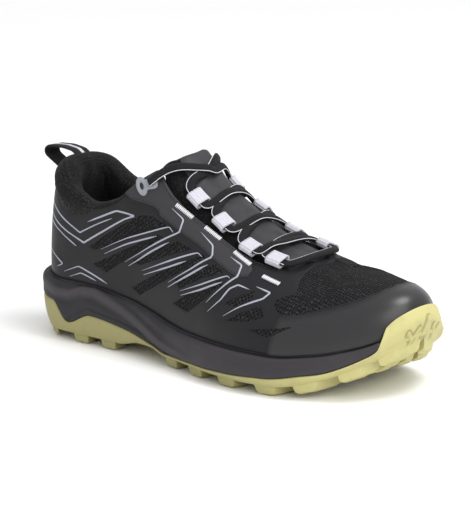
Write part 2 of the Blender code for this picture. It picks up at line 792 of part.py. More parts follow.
def add_stadium(curve, half_long, half_high):
    """A closed outline: two straight sides joined by half circles."""
    spline = curve.splines.new("POLY")
    points = []
    for side in (1, -1):
        for k in range(LOOP_STEPS + 1):
            angle = side * math.pi / 2 - math.pi * k / LOOP_STEPS
            x = side * (half_long - half_high) + half_high * math.cos(angle)
            points.append((x, half_high * math.sin(angle), 0, 1))
    spline.points.add(len(points) - 1)
    for target, point in zip(spline.points, points):
        target.co = point
    spline.use_cyclic_u = True


def from_curve(name, curve, parts, paint):
    """A curve's solid as a mesh object, with its caps sewn to its sides."""
    helper = bpy.data.objects.new(name + "_outline", curve)
    bpy.context.scene.collection.objects.link(helper)
    graph = bpy.context.evaluated_depsgraph_get()
    mesh = bpy.data.meshes.new_from_object(helper.evaluated_get(graph))
    bpy.data.objects.remove(helper)
    bm = bmesh.new()
    bm.from_mesh(mesh)
    outward(bm)
    bm.to_mesh(mesh)
    bm.free()
    mesh.name = name
    return piece(name, mesh, paint, parts)


def plate_point(side, along, across, lift):
    """A point over the eyestay in the plate's own measures, along its neck and across it."""
    ahead = along * PLATE_LEAN_X - across * PLATE_LEAN_UP
    down = BALL_WIDTH * PLATE_DOWN - along * PLATE_LEAN_UP - across * PLATE_LEAN_X
    here, normal, _, _ = beside_throat(PLATE_AT + ahead / SOLE_LENGTH, side, down)
    return here + normal * lift, normal


def make_plate(name, side, parts, paint):
    """A thin plate on the eyestay, with the top eyelet's hole and a forked neck towards the tongue."""
    curve = bpy.data.curves.new(name, "CURVE")
    curve.dimensions = "2D"
    curve.fill_mode = "BOTH"
    curve.extrude = PLATE_THICKNESS / 2
    narrow = 0.45 * PLATE_RADIUS
    start = math.asin(narrow / PLATE_RADIUS)
    sweep = 2 * math.pi - 2 * start
    turns = [start + sweep * k / PLATE_SIDES for k in range(PLATE_SIDES + 1)]
    outline = [(PLATE_RADIUS * math.cos(a), PLATE_RADIUS * math.sin(a)) for a in turns]
    for share, wide in ((0.60, 1.0), (0.80, 1.1), (1.00, 1.9)):
        outline.append((PLATE_NECK * share, -narrow * wide))
    for share, wide in ((1.00, 1.9), (0.80, 1.1), (0.60, 1.0)):
        outline.append((PLATE_NECK * share, narrow * wide))
    ring = [2 * math.pi * k / HOLE_SIDES for k in range(HOLE_SIDES)]
    hole = [(PLATE_HOLE * math.cos(a), PLATE_HOLE * math.sin(a)) for a in ring]
    for points in (outline, hole):
        spline = curve.splines.new("POLY")
        spline.points.add(len(points) - 1)
        for target, (x, y) in zip(spline.points, points):
            target.co = (x, y, 0, 1)
        spline.use_cyclic_u = True
    made = from_curve(name, curve, parts, paint)
    for vert in made.data.vertices:
        lift = PLATE_THICKNESS / 2 + PLATE_LIFT + vert.co.z
        vert.co = plate_point(side, vert.co.x, vert.co.y, lift)[0]
    bm = bmesh.new()
    bm.from_mesh(made.data)
    outward(bm)
    bm.to_mesh(made.data)
    bm.free()
    return made


def plate_stop(side):
    """Where a lace ends, over the neck of the top eyelet's plate, and the way it runs there."""
    here = plate_point(side, 0.55 * PLATE_NECK, 0, 0)[0]
    ahead = plate_point(side, 0.80 * PLATE_NECK, 0, 0)[0]
    return here, (here - ahead).normalized()


def top_stop(share, side):
    """Where a strand passes over the tongue's top on its way to a side's plate, and its heading there."""
    return instep_frame(share, 0)[0], Vector((-LACE_TOP_LEAN, side, 0)).normalized()


def lace_points(stops):
    """A strand's points on the instep under it, each with its heading: (loop share, side, way along)."""
    points = []
    for share, side, way in stops:
        centre, normal, edge = loop_seat(share, side)
        reach = LOOP_LENGTH / 2 + LACE_STRAIGHT
        for part in (-1, 0, 1):
            points.append((centre - normal * LACE_LIFT + edge * (way * part * reach), edge * way))
    return points


def strand(points):
    """A smooth path over the instep through a strand's points, lifted off it, and its normals."""
    spots = [points[0][0]]
    for (here, heading), (there, heading_there) in zip(points[:-1], points[1:]):
        span = (there - here).length
        pull = min(span, LACE_BEND)
        steps = max(2, round(span / LACE_STEP))
        for j in range(1, steps + 1):
            t = j / steps
            spot = here * (2 * t**3 - 3 * t**2 + 1) + heading * pull * (t**3 - 2 * t**2 + t)
            spots.append(spot + there * (3 * t**2 - 2 * t**3) + heading_there * pull * (t**3 - t**2))
    path, up = [], []
    for spot in spots:
        ground, normal, _, _ = instep_frame(spot.x / SOLE_LENGTH, spot.y)
        path.append(ground + normal * LACE_LIFT)
        up.append(normal)
    return path, up


def lace_routes():
    """Two strands: one from the bottom bar by the lateral loop of the third pair, one by the medial."""
    first = [
        (LATERAL_LOOPS[3], -1, 1),
        (MEDIAL_LOOPS[3], 1, -1),
        (LATERAL_LOOPS[2], -1, -1),
        (MEDIAL_LOOPS[1], 1, -1),
        (LATERAL_LOOPS[0], -1, -1),
    ]
    second = [
        (LATERAL_LOOPS[3], -1, -1),
        (MEDIAL_LOOPS[2], 1, -1),
        (LATERAL_LOOPS[1], -1, -1),
        (MEDIAL_LOOPS[0], 1, -1),
    ]
    to_medial = lace_points(first)[1:] + [top_stop(LACE_TOPS[0], 1), plate_stop(1)]
    to_lateral = lace_points(second) + [top_stop(LACE_TOPS[1], -1), plate_stop(-1)]
    return to_medial, to_lateral


def make_lace(parts, cutters, paint):
    """The lace: two strands that cross over the tongue, joined where they cross."""
    made = []
    names = ("lace", "lace_strand")
    for name, points, slim, where in zip(names, lace_routes(), (1.0, 0.96), (parts, cutters)):
        path, up = strand(points)
        mesh = sweep_mesh(name, path, up, slim * LACE_WIDTH / 2, slim * LACE_THICKNESS / 2, LACE_SIDES)
        mesh.shade_smooth()
        made.append(piece(name, mesh, paint, where))
    join(*made)
    return made[0]


def make_pull_loop(parts, paint):
    """A strap from the heel's back, out behind the collar and back to its rim."""
    points, normal = arch(0)
    run = int(np.searchsorted(points[:, 2], COLLAR_HEIGHT - 2.0 * PULL_GAP))
    low = Vector(points[run]) + Vector(normal[run]) * (PULL_THICKNESS / 2 + FIT)
    top = Vector(points[int(np.searchsorted(points[:, 2], COLLAR_HEIGHT))])
    high = top + Vector((PULL_SAG, 0, PULL_THICKNESS / 2 + 3 * FIT))
    tail = high.x - PULL_REACH
    radius = PULL_GAP / 2
    bend = Vector((tail + radius, 0, high.z - radius + PULL_SAG))
    path = [low, low.lerp(bend, 0.45) + Vector((-PULL_SAG, 0, -1.5 * PULL_SAG))]
    for k in range(BEND_STEPS + 1):
        angle = math.radians(-100 - 170 * k / BEND_STEPS)
        path.append(bend + Vector((math.cos(angle), 0, math.sin(angle))) * radius)
    path += [bend.lerp(high, 0.55) + Vector((0, 0, radius * 0.75)), high]
    bm = bmesh.new()
    rows = []
    for k, point in enumerate(path):
        ahead = path[min(k + 1, len(path) - 1)]
        behind = path[max(k - 1, 0)]
        forward = (ahead - behind).normalized()
        rise = forward.cross(Vector((0, 1, 0))).normalized() * PULL_THICKNESS / 2
        side = Vector((0, PULL_WIDTH / 2, 0))
        corners = (rise + side, rise - side, -rise - side, -rise + side)
        rows.append([bm.verts.new(point + corner) for corner in corners])
    for low_row, high_row in zip(rows[:-1], rows[1:]):
        for j in range(4):
            bm.faces.new((low_row[j], low_row[(j + 1) % 4], high_row[(j + 1) % 4], high_row[j]))
    bm.faces.new(rows[0])
    bm.faces.new(rows[-1])
    outward(bm)
    mesh = bpy.data.meshes.new("pull_loop")
    bm.to_mesh(mesh)
    bm.free()
    return piece("pull_loop", mesh, paint, parts)


def centre_on_origin(made, collection):
    """Carries every piece on an empty that puts the box's bottom centre at the origin."""
    bpy.context.view_layer.update()
    graph = bpy.context.evaluated_depsgraph_get()
    low = np.full(3, np.inf)
    high = np.full(3, -np.inf)
    for item in made:
        evaluated = item.evaluated_get(graph)
        mesh = evaluated.to_mesh()
        world = np.array(evaluated.matrix_world)
        spots = np.array([vert.co for vert in mesh.vertices]) @ world[:3, :3].T + world[:3, 3]
        evaluated.to_mesh_clear()
        low = np.minimum(low, spots.min(axis=0))
        high = np.maximum(high, spots.max(axis=0))
    carrier = bpy.data.objects.new("shoe_carrier", None)
    collection.objects.link(carrier)
    for item in made:
        item.parent = carrier
    carrier.location = (-(low[0] + high[0]) / 2, -(low[1] + high[1]) / 2, -low[2])
    return carrier


def main():
    for item in list(bpy.data.objects):
        bpy.data.objects.remove(item)
    parts = bpy.data.collections.new("trail_running_shoe")
    cutters = bpy.data.collections.new("helpers")
    for collection in (parts, cutters):
        bpy.context.scene.collection.children.link(collection)
    foam = material("foam", (0.060, 0.056, 0.068), 0.70)
    rubber = material("rubber", (0.62, 0.60, 0.30), 0.60)
    cloth = material("upper_textile", (0.022, 0.021, 0.024), 0.75)
    knit = material("tongue_knit", (0.015, 0.015, 0.017), 0.85)
    liner = material("sock_liner", (0.020, 0.020, 0.022), 0.90)
    webbing = material("webbing", (0.80, 0.78, 0.84), 0.65)
    strap = material("strap", (0.012, 0.012, 0.013), 0.80)
    cord = material("lace_cord", (0.010, 0.010, 0.011), 0.80)
    plate = material("eyelet_film", (0.34, 0.36, 0.39), 0.45)
    made = [
        make_outsole(parts, cutters, rubber),
        make_midsole(parts, foam),
        make_insole(parts, liner),
        make_upper(parts, cloth),
        make_tongue(parts, knit),
        make_pull_loop(parts, strap),
        make_lace(parts, cutters, cord),
    ]
    for side, word, places in ((-1, "lateral", LATERAL_LOOPS), (1, "medial", MEDIAL_LOOPS)):
        made.append(make_plate("eyelet_plate_" + word, side, parts, plate))
        for number, share in enumerate(places, 1):
            made.append(make_loop(f"webbing_loop_{word}_{number}", share, side, parts, webbing))
    helpers = list(cutters.objects)
    carrier = centre_on_origin(made, parts)
    for item in helpers:
        item.parent = carrier


main()
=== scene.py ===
# %% [markdown]
# A trail running shoe for the right foot, standing empty on its sole, seen from its lateral side.
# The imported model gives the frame: every piece below is wrapped over the same last, in metres, so it
# lands where its solid is. The shoe is then built as a shoemaker would: sole, upper, collar, tongue, laces.
# %% The frame
import math

import bmesh
import bpy
import numpy as np
from mathutils import Matrix, Vector


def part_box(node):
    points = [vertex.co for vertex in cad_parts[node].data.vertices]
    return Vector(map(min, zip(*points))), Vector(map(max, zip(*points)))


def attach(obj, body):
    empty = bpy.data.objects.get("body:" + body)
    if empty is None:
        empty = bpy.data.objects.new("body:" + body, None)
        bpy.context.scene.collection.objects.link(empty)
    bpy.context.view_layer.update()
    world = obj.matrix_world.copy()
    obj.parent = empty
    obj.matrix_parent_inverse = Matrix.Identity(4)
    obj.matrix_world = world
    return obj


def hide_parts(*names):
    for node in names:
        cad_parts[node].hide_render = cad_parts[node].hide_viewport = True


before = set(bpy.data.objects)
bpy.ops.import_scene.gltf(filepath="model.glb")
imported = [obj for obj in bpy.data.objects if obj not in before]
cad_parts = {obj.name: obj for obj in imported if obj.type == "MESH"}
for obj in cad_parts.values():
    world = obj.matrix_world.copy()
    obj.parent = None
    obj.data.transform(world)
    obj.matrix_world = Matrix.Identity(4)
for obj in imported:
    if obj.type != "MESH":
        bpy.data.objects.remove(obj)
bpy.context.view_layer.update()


def into_scene(name, data):
    """A new object in the scene, at the origin."""
    made = bpy.data.objects.new(name, data)
    bpy.context.scene.collection.objects.link(made)
    return made


# %% [markdown]
# The camera comes first, because everything is judged through it. Its direction, distance and lens were
# found by matching the sole's lugs, the collar and the lace loops with the photograph's.
# %% Camera
TARGET = Vector((0.0079, 0.0029, 0.0500))
AZIMUTH, ELEVATION, ROLL = math.radians(43.5), math.radians(12.2), math.radians(-1.11)
DISTANCE = 1.280
# The photograph's width, the focal length and the optical centre's offset, in pixels of the photograph.
IMAGE_WIDTH, FOCAL_LENGTH, CENTRE_X, CENTRE_Y = 471, 2228, -1.2, 8.8
SENSOR = 36
back = Vector((math.sin(AZIMUTH) * math.cos(ELEVATION), -math.cos(AZIMUTH) * math.cos(ELEVATION),
               math.sin(ELEVATION)))
level = Vector((math.cos(AZIMUTH), math.sin(AZIMUTH), 0))
upright = back.cross(level)
right = level * math.cos(ROLL) + upright * math.sin(ROLL)
upward = upright * math.cos(ROLL) - level * math.sin(ROLL)
camera = into_scene("camera", bpy.data.cameras.new("camera"))
axes = Matrix((right, upward, back)).transposed().to_4x4()
camera.matrix_world = Matrix.Translation(TARGET + back * DISTANCE) @ axes
camera.data.sensor_fit = "HORIZONTAL"
camera.data.sensor_width = SENSOR
camera.data.lens = FOCAL_LENGTH / IMAGE_WIDTH * SENSOR
camera.data.shift_x = CENTRE_X / IMAGE_WIDTH
camera.data.shift_y = CENTRE_Y / IMAGE_WIDTH
bpy.context.scene.camera = camera
print("lens", round(camera.data.lens, 1), "mm")

# %% [markdown]
# A shoe grows from its last, the foot-shaped form inside it. These tables give sections along the last
# as shares of a few named sizes, in metres, and a smooth curve runs through each column, so that a fine
# mesh and the coarse solid model follow one and the same surface.
# %% The last's sizes and sections
LENGTH, WIDTH, INSTEP, COLLAR_TOP = 0.285, 0.104, 0.100, 0.108
HEEL_STACK, LUG_DEPTH, RUBBER_BASE = 0.0195, 0.0053, 0.0022
# Shares of the length: where heel and toe start to round off, and where the throat starts and ends.
HEEL_AXIS, TOE_AXIS, THROAT_TOP, THROAT_END = 0.13, 0.79, 0.366, 0.732
MIDDLE_STACK, TOE_STACK, ARCH_RISE = 0.0105, 0.0035, 0.003
TOE_SPRING, HEEL_SPRING = 0.031, 0.005
HEEL_ROUND, TOE_ROUND = 2.6, 2.25
WALL = 0.0020
SECTIONS = np.array([
    # at, outer, inner, spine, crown offset, crown, roundness, inset, tuck
    (0.000, 0.345, 0.345, 0.000, 0.000, 1.00, 2.30, 0.058, 0.045),
    (0.100, 0.350, 0.350, 0.000, 0.000, 1.16, 2.30, 0.048, 0.030),
    (0.203, 0.355, 0.350, 0.000, 0.010, 1.20, 2.30, 0.043, 0.028),
    (0.325, 0.368, 0.320, 0.000, 0.020, 1.10, 2.30, 0.040, 0.028),
    (0.366, 0.382, 0.310, 0.000, 0.030, 1.03, 2.30, 0.040, 0.028),
    (0.458, 0.435, 0.315, 0.005, 0.035, 0.79, 2.40, 0.043, 0.028),
    (0.534, 0.488, 0.355, 0.010, 0.040, 0.67, 2.35, 0.048, 0.028),
    (0.610, 0.540, 0.405, 0.015, 0.045, 0.57, 2.30, 0.053, 0.028),
    (0.690, 0.560, 0.450, 0.020, 0.050, 0.510, 2.20, 0.053, 0.028),
    (0.763, 0.545, 0.460, 0.025, 0.060, 0.460, 2.15, 0.048, 0.028),
    (0.833, 0.492, 0.440, 0.030, 0.060, 0.415, 2.25, 0.043, 0.035),
    (0.912, 0.430, 0.395, 0.033, 0.040, 0.375, 2.55, 0.045, 0.055),
    (1.000, 0.385, 0.350, 0.026, 0.000, 0.335, 2.80, 0.054, 0.085),
])
OUTER, INNER, SPINE, CROWN_Y, CROWN, ROUND, INSET, TUCK = range(1, 9)
SIDE_LINES = np.array([
    # at, the rubber's top, the foam's rim
    (0.000, 1.20, 1.92), (0.045, 1.20, 1.92), (0.085, 1.22, 1.92), (0.134, 0.63, 1.92), (0.204, 0.97, 1.91),
    (0.300, 0.83, 1.77), (0.400, 0.56, 1.52), (0.450, 0.42, 1.36), (0.510, 0.42, 1.25), (0.660, 0.46, 1.20),
    (0.740, 0.52, 1.18), (0.810, 0.55, 1.13), (0.880, 0.44, 0.96), (0.940, 0.42, 0.76), (0.951, 0.46, 0.73),
    (0.959, 0.74, 0.71), (0.966, 1.02, 0.70), (0.980, 1.14, 0.70), (1.000, 1.20, 0.70),
])
RUBBER, RIM = 1, 2
COLLAR = np.array([
    # at, dip, rise to the throat's corner
    (0.000, 0.000, 0.00), (0.050, 0.035, 0.00), (0.120, 0.140, 0.00), (0.200, 0.205, 0.00),
    (0.270, 0.160, 0.10), (0.335, 0.045, 0.60), (0.366, 0.000, 1.00),
])
THROAT = np.array([
    # at, half widths of the lateral edge, the medial edge and the lacing line
    (0.366, 0.205, 0.178, 0.178), (0.420, 0.226, 0.182, 0.182), (0.510, 0.224, 0.188, 0.188),
    (0.630, 0.230, 0.216, 0.216), (0.692, 0.212, 0.207, 0.207), (0.716, 0.130, 0.130, 0.130),
    (0.732, 0.000, 0.000, 0.000),
])


def hermite(t):
    """Weights of a cubic's start, start slope, end and end slope."""
    return 2 * t**3 - 3 * t**2 + 1, t**3 - 2 * t**2 + t, 3 * t**2 - 2 * t**3, t**3 - t**2


def read(rows, column, share):
    """A column of a table at any share, as a smooth curve that never overshoots its rows."""
    at, value = rows[:, 0], rows[:, column]
    step = np.diff(at)
    slope = np.diff(value) / step
    tangent = np.concatenate([[slope[0]], np.zeros(len(at) - 2), [slope[-1]]])
    same = slope[:-1] * slope[1:] > 0
    tangent[1:-1][same] = 2 * slope[:-1][same] * slope[1:][same] / (slope[:-1] + slope[1:])[same]
    share = np.clip(np.asarray(share, float), at[0], at[-1])
    i = np.clip(np.searchsorted(at, share, side="right") - 1, 0, len(at) - 2)
    start, leave, end, arrive = hermite((share - at[i]) / step[i])
    left = start * value[i] + leave * step[i] * tangent[i]
    return left + end * value[i + 1] + arrive * step[i] * tangent[i + 1]


def smooth(t):
    """0 up to 0, 1 from 1 on, and a soft step between them."""
    t = np.clip(t, 0, 1)
    return t * t * (3 - 2 * t)


def bell(x, width):
    """1 at 0, falling off on both sides."""
    return np.exp(-((x / width) ** 2))


def unit(vectors):
    return vectors / np.linalg.norm(vectors, axis=-1, keepdims=True)


def run_along(points):
    """Distance run along a line, up to each of its points."""
    return np.concatenate([[0], np.cumsum(np.linalg.norm(np.diff(points, axis=0), axis=1))])


def soften(line, times):
    """Rounds off a line's corners in place, with its ends held."""
    for _ in range(times):
        line[1:-1] = line[1:-1] * 0.5 + (line[:-2] + line[2:]) * 0.25


def sole_line(share):
    """Height of the lugs' tips, which curve up under the toe and the heel's back."""
    toe = np.clip((share - 0.74) / 0.26, 0, None)
    heel = np.clip((0.11 - share) / 0.11, 0, None)
    return TOE_SPRING * toe**2 + HEEL_SPRING * heel**2


def underside(share):
    """Height of the tray's lower face, a little hollow under the arch."""
    arch = smooth((share - 0.28) / 0.07) * (1 - smooth((share - 0.39) / 0.06))
    return sole_line(share) + LUG_DEPTH + ARCH_RISE * arch


def footbed(share):
    """Height of the foam's upper face inside."""
    stack = MIDDLE_STACK + (HEEL_STACK - MIDDLE_STACK) * (1 - smooth((share - 0.20) / 0.42))
    stack = stack + (TOE_STACK - stack) * smooth((share - 0.78) / 0.20)
    return sole_line(share) + LUG_DEPTH + RUBBER_BASE + stack


def side_height(column, share):
    return sole_line(share) + HEEL_STACK * read(SIDE_LINES, column, share)


# %% [markdown]
# The sole's outline is drawn once in plan, with superellipse rounds at heel and toe. It is cut into even
# steps on both sides, because columns that are evenly spaced keep a knit pattern from stretching.
# %% Outline in plan
def outline(per_side):
    """Percent round a side, share along the shoe, side, edge point and inward direction of each column."""
    turn = np.linspace(0, math.pi / 2, 400)
    heel = HEEL_AXIS * (1 - np.cos(turn) ** (2 / HEEL_ROUND))
    toe = TOE_AXIS + (1 - TOE_AXIS) * np.sin(turn) ** (2 / TOE_ROUND)
    middle = np.linspace(HEEL_AXIS, TOE_AXIS, 800)[1:-1]
    along = np.concatenate([heel, middle, toe])
    wide = np.concatenate([np.sin(turn) ** (2 / HEEL_ROUND), np.ones(len(middle)),
                           np.cos(turn).clip(0) ** (2 / TOE_ROUND)])
    found = []
    for side, column in ((-1, OUTER), (1, INNER)):
        x = LENGTH * along
        y = WIDTH * (read(SECTIONS, SPINE, along) + side * read(SECTIONS, column, along) * wide)
        run = run_along(np.stack([x, y], 1))
        at = np.linspace(0, 1, per_side + 1)
        keep = slice(None) if side < 0 else slice(-2, 0, -1)
        rows = [100 * at, np.interp(at * run[-1], run, along), np.full(per_side + 1, side),
                np.interp(at * run[-1], run, x), np.interp(at * run[-1], run, y)]
        found.append(np.stack(rows)[:, keep])
    percent, share, side, x, y = np.concatenate(found, axis=1)
    edge = np.stack([x, y], 1)
    tangent = unit(np.roll(edge, -1, 0) - np.roll(edge, 1, 0))
    return percent, share, side, edge, np.stack([-tangent[:, 1], tangent[:, 0]], 1)


PER_SIDE = 300
FINE = outline(PER_SIDE)
MIDSOLE_BOX = np.array(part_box("midsole"))
SHIFT = np.array([MIDSOLE_BOX[0, 0], MIDSOLE_BOX[0, 1] - FINE[3][:, 1].min(), 0.0])
print("columns", len(FINE[0]), "shift to the frame", SHIFT.round(4))

# %% [markdown]
# Above the sole each column climbs an arch from the feather edge, where upper meets foam, to the crown
# of the instep. Distances are measured along that arch, as a tape would, so patterns can be cut flat.
# %% The last's surface
ANGLE = np.linspace(0, math.pi / 2, 241)
TINY = 1e-9


def crown_line(share):
    y = read(SECTIONS, SPINE, share) + read(SECTIONS, CROWN_Y, share)
    return np.stack([LENGTH * share, WIDTH * y], -1)


def upper_inset(share):
    return WIDTH * read(SECTIONS, INSET, share)


def arches(share, edge, inward):
    """Dense points of every column's arch, their normals, and the distance run along the arch."""
    foot = edge + inward * upper_inset(share)[:, None]
    crown = crown_line(np.clip(share, HEEL_AXIS, TOE_AXIS))
    power = read(SECTIONS, ROUND, share)[:, None]
    out = np.cos(ANGLE).clip(0) ** (2 / power)
    plan = crown[:, None] + (foot - crown)[:, None] * out[..., None]
    along = plan[..., 0] / LENGTH
    z = footbed(along) + INSTEP * read(SECTIONS, CROWN, along) * np.sin(ANGLE) ** (2 / power)
    points = np.concatenate([plan, z[..., None]], -1)
    outward = unit(foot - crown)
    slope = np.gradient(points, axis=1)
    fall = (slope[..., :2] * outward[:, None]).sum(-1)
    normal = unit(np.concatenate([outward[:, None] * slope[..., 2:], -fall[..., None]], -1))
    run = np.linalg.norm(np.diff(points, axis=1), axis=-1).cumsum(1)
    return points, normal, np.concatenate([np.zeros((len(share), 1)), run], 1)


def instep(share, y):
    """Height of the instep over any point of the throat."""
    share, y = np.broadcast_arrays(np.asarray(share, float), np.asarray(y, float))
    spine = WIDTH * read(SECTIONS, SPINE, share)
    crown = spine + WIDTH * read(SECTIONS, CROWN_Y, share)
    side = np.where(y < crown, -1, 1)
    half = WIDTH * np.where(side < 0, read(SECTIONS, OUTER, share), read(SECTIONS, INNER, share))
    edge = spine + side * (half - upper_inset(share))
    out = np.clip(np.abs(y - crown) / np.abs(edge - crown), 0, 1)
    power = read(SECTIONS, ROUND, share)
    return footbed(share) + INSTEP * read(SECTIONS, CROWN, share) * (1 - out**power) ** (1 / power)


def throat_half(share, side):
    return WIDTH * np.where(np.asarray(side) < 0, read(THROAT, 1, share), read(THROAT, 2, share))


def collar_height(share):
    corner = instep(THROAT_TOP, -throat_half(THROAT_TOP, -1))
    dip = COLLAR_TOP * (1 - read(COLLAR, 1, share))
    return dip + (corner - COLLAR_TOP) * read(COLLAR, 2, share)


def top_runs(share, side, points, run):
    """How far up each arch the upper ends: at the collar's rim, the throat's edge or the crown."""
    ends = run[:, -1].copy()
    rim, half = collar_height(share), throat_half(share, side)
    for i in range(len(share)):
        if share[i] < THROAT_TOP:
            ends[i] = np.interp(rim[i], points[i, :, 2], run[i])
        elif share[i] < THROAT_END:
            away = np.abs(points[i, :, 1])
            k = int(np.argmax(away <= half[i]))
            if k:
                part = (away[k - 1] - half[i]) / max(away[k - 1] - away[k], TINY)
                ends[i] = run[i, k - 1] + part * (run[i, k] - run[i, k - 1])
    return ends


POINTS, NORMALS, RUNS = arches(*FINE[1:2], *FINE[3:])
TOPS = top_runs(FINE[1], FINE[2], POINTS, RUNS)
print("upper's tallest column", round(TOPS.max() * 1000, 1), "mm")

# %% [markdown]
# Panels, lines and stitches are drawn on a flat pattern and then wrapped over the last. A place on the
# pattern is (percent of the way from the heel's back to the toe's tip, millimetres up from the feather
# edge). The wrap looks both up in a grid of the last's surface, which keeps curves true at any spot.
# %% Wrapping a flat pattern
PERCENT = 3.21
TAPE_STEP = 0.0005
TAPE = np.arange(0, 0.1101, TAPE_STEP)


def millimetres(pattern):
    """Places on the flat pattern with both measures in millimetres, one percent being PERCENT of them."""
    return np.asarray(pattern, float) * (PERCENT, 1)


def on_arch(values, i, run):
    """A column's points or normals at distances along its arch."""
    return np.stack([np.interp(run, RUNS[i], values[i, :, axis]) for axis in range(3)], -1)


GRIDS = [np.stack([on_arch(values, i, TAPE) for i in range(len(RUNS))]) for values in (POINTS, NORMALS)]


def wrap(pattern, side, lift=0.0):
    """Points in space, and normals, for places on the flat pattern of one side of the shoe."""
    pattern = np.atleast_2d(np.asarray(pattern, float))
    column = np.clip(pattern[:, 0] / 100, 0, 1) * PER_SIDE
    row = np.clip(pattern[:, 1] / 1000, 0, TAPE[-2]) / TAPE_STEP
    i, j = np.minimum(column.astype(int), PER_SIDE - 1), row.astype(int)
    s, t = (column - i)[:, None], (row - j)[:, None]
    count = 2 * PER_SIDE
    near, far = (i, i + 1) if side < 0 else ((count - i) % count, (count - i - 1) % count)
    mixed = []
    for grid in GRIDS:
        low = grid[near, j] * (1 - t) + grid[near, j + 1] * t
        high = grid[far, j] * (1 - t) + grid[far, j + 1] * t
        mixed.append(low * (1 - s) + high * s)
    points, normal = mixed[0], unit(mixed[1])
    return points + normal * np.reshape(lift, (-1, 1)), normal


# %% [markdown]
# Small helpers turn arrays of points into pieces. Each piece sits at the origin with its place in its
# mesh, as the solid model's pieces do, and faces that meet at a seam are merged and turned outward.
# %% Making pieces
def piece(name, points, faces, finish, flat=None, marks=None, solid=True):
    """A mesh object from arrays. flat is a UV map in metres, marks are named numbers at each point."""
    mesh = bpy.data.meshes.new(name)
    spots = np.asarray(points, float) + SHIFT
    mesh.from_pydata(spots.tolist(), [], [list(map(int, face)) for face in faces])
    if flat is not None:
        corners = np.zeros(len(mesh.loops), int)
        mesh.loops.foreach_get("vertex_index", corners)
        layer = mesh.uv_layers.new(name="pattern")
        layer.data.foreach_set("uv", np.asarray(flat, float)[corners].ravel())
    for key, values in (marks or {}).items():
        mesh.attributes.new(key, "FLOAT", "POINT").data.foreach_set("value", np.asarray(values, float))
    if solid:
        bm = bmesh.new()
        bm.from_mesh(mesh)
        bmesh.ops.remove_doubles(bm, verts=bm.verts, dist=1e-6)
        bmesh.ops.recalc_face_normals(bm, faces=bm.faces)
        bm.to_mesh(mesh)
        bm.free()
    mesh.polygons.foreach_set("use_smooth", [True] * len(mesh.polygons))
    mesh.materials.append(finish)
    return into_scene(name, mesh)


def grid_faces(columns, rows, closed):
    """Quads of a grid whose points run row by row within each column."""
    found = []
    for i in range(columns if closed else columns - 1):
        a, b = i * rows, ((i + 1) % columns) * rows
        found += [(a + k, b + k, b + k + 1, a + k + 1) for k in range(rows - 1)]
    return found


def band(first, second, around):
    """Quads between two closed rings of points that start at these two indexes."""
    return [(first + j, first + (j + 1) % around, second + (j + 1) % around, second + j)
            for j in range(around)]


def tube(start, rings, around):
    """Faces of a row of closed rings, capped at both ends."""
    faces, last = [], start + (rings - 1) * around
    for k in range(rings - 1):
        faces += band(start + k * around, start + (k + 1) * around, around)
    return faces + [list(range(start, start + around)), list(range(last, last + around))[::-1]]


def loft(name, lines, finish, **marks):
    """A body from closed lines round the shoe, capped across the first and the last of them."""
    count, rows = len(lines[0]), len(lines)
    faces = grid_faces(count, rows, True)
    for row in (0, rows - 1):
        for i in range(count // 2):
            corners = [i, i + 1, (count - i - 1) % count, (count - i) % count]
            faces.append([at * rows + row for at in dict.fromkeys(corners)])
    marks = {key: np.stack(values, 1).ravel() for key, values in marks.items()}
    return piece(name, np.stack(lines, 1).reshape(-1, 3), faces, finish, marks=marks)


def apply_modifiers(made):
    graph = bpy.context.evaluated_depsgraph_get()
    mesh = bpy.data.meshes.new_from_object(made.evaluated_get(graph))
    made.modifiers.clear()
    made.data = mesh
    return made


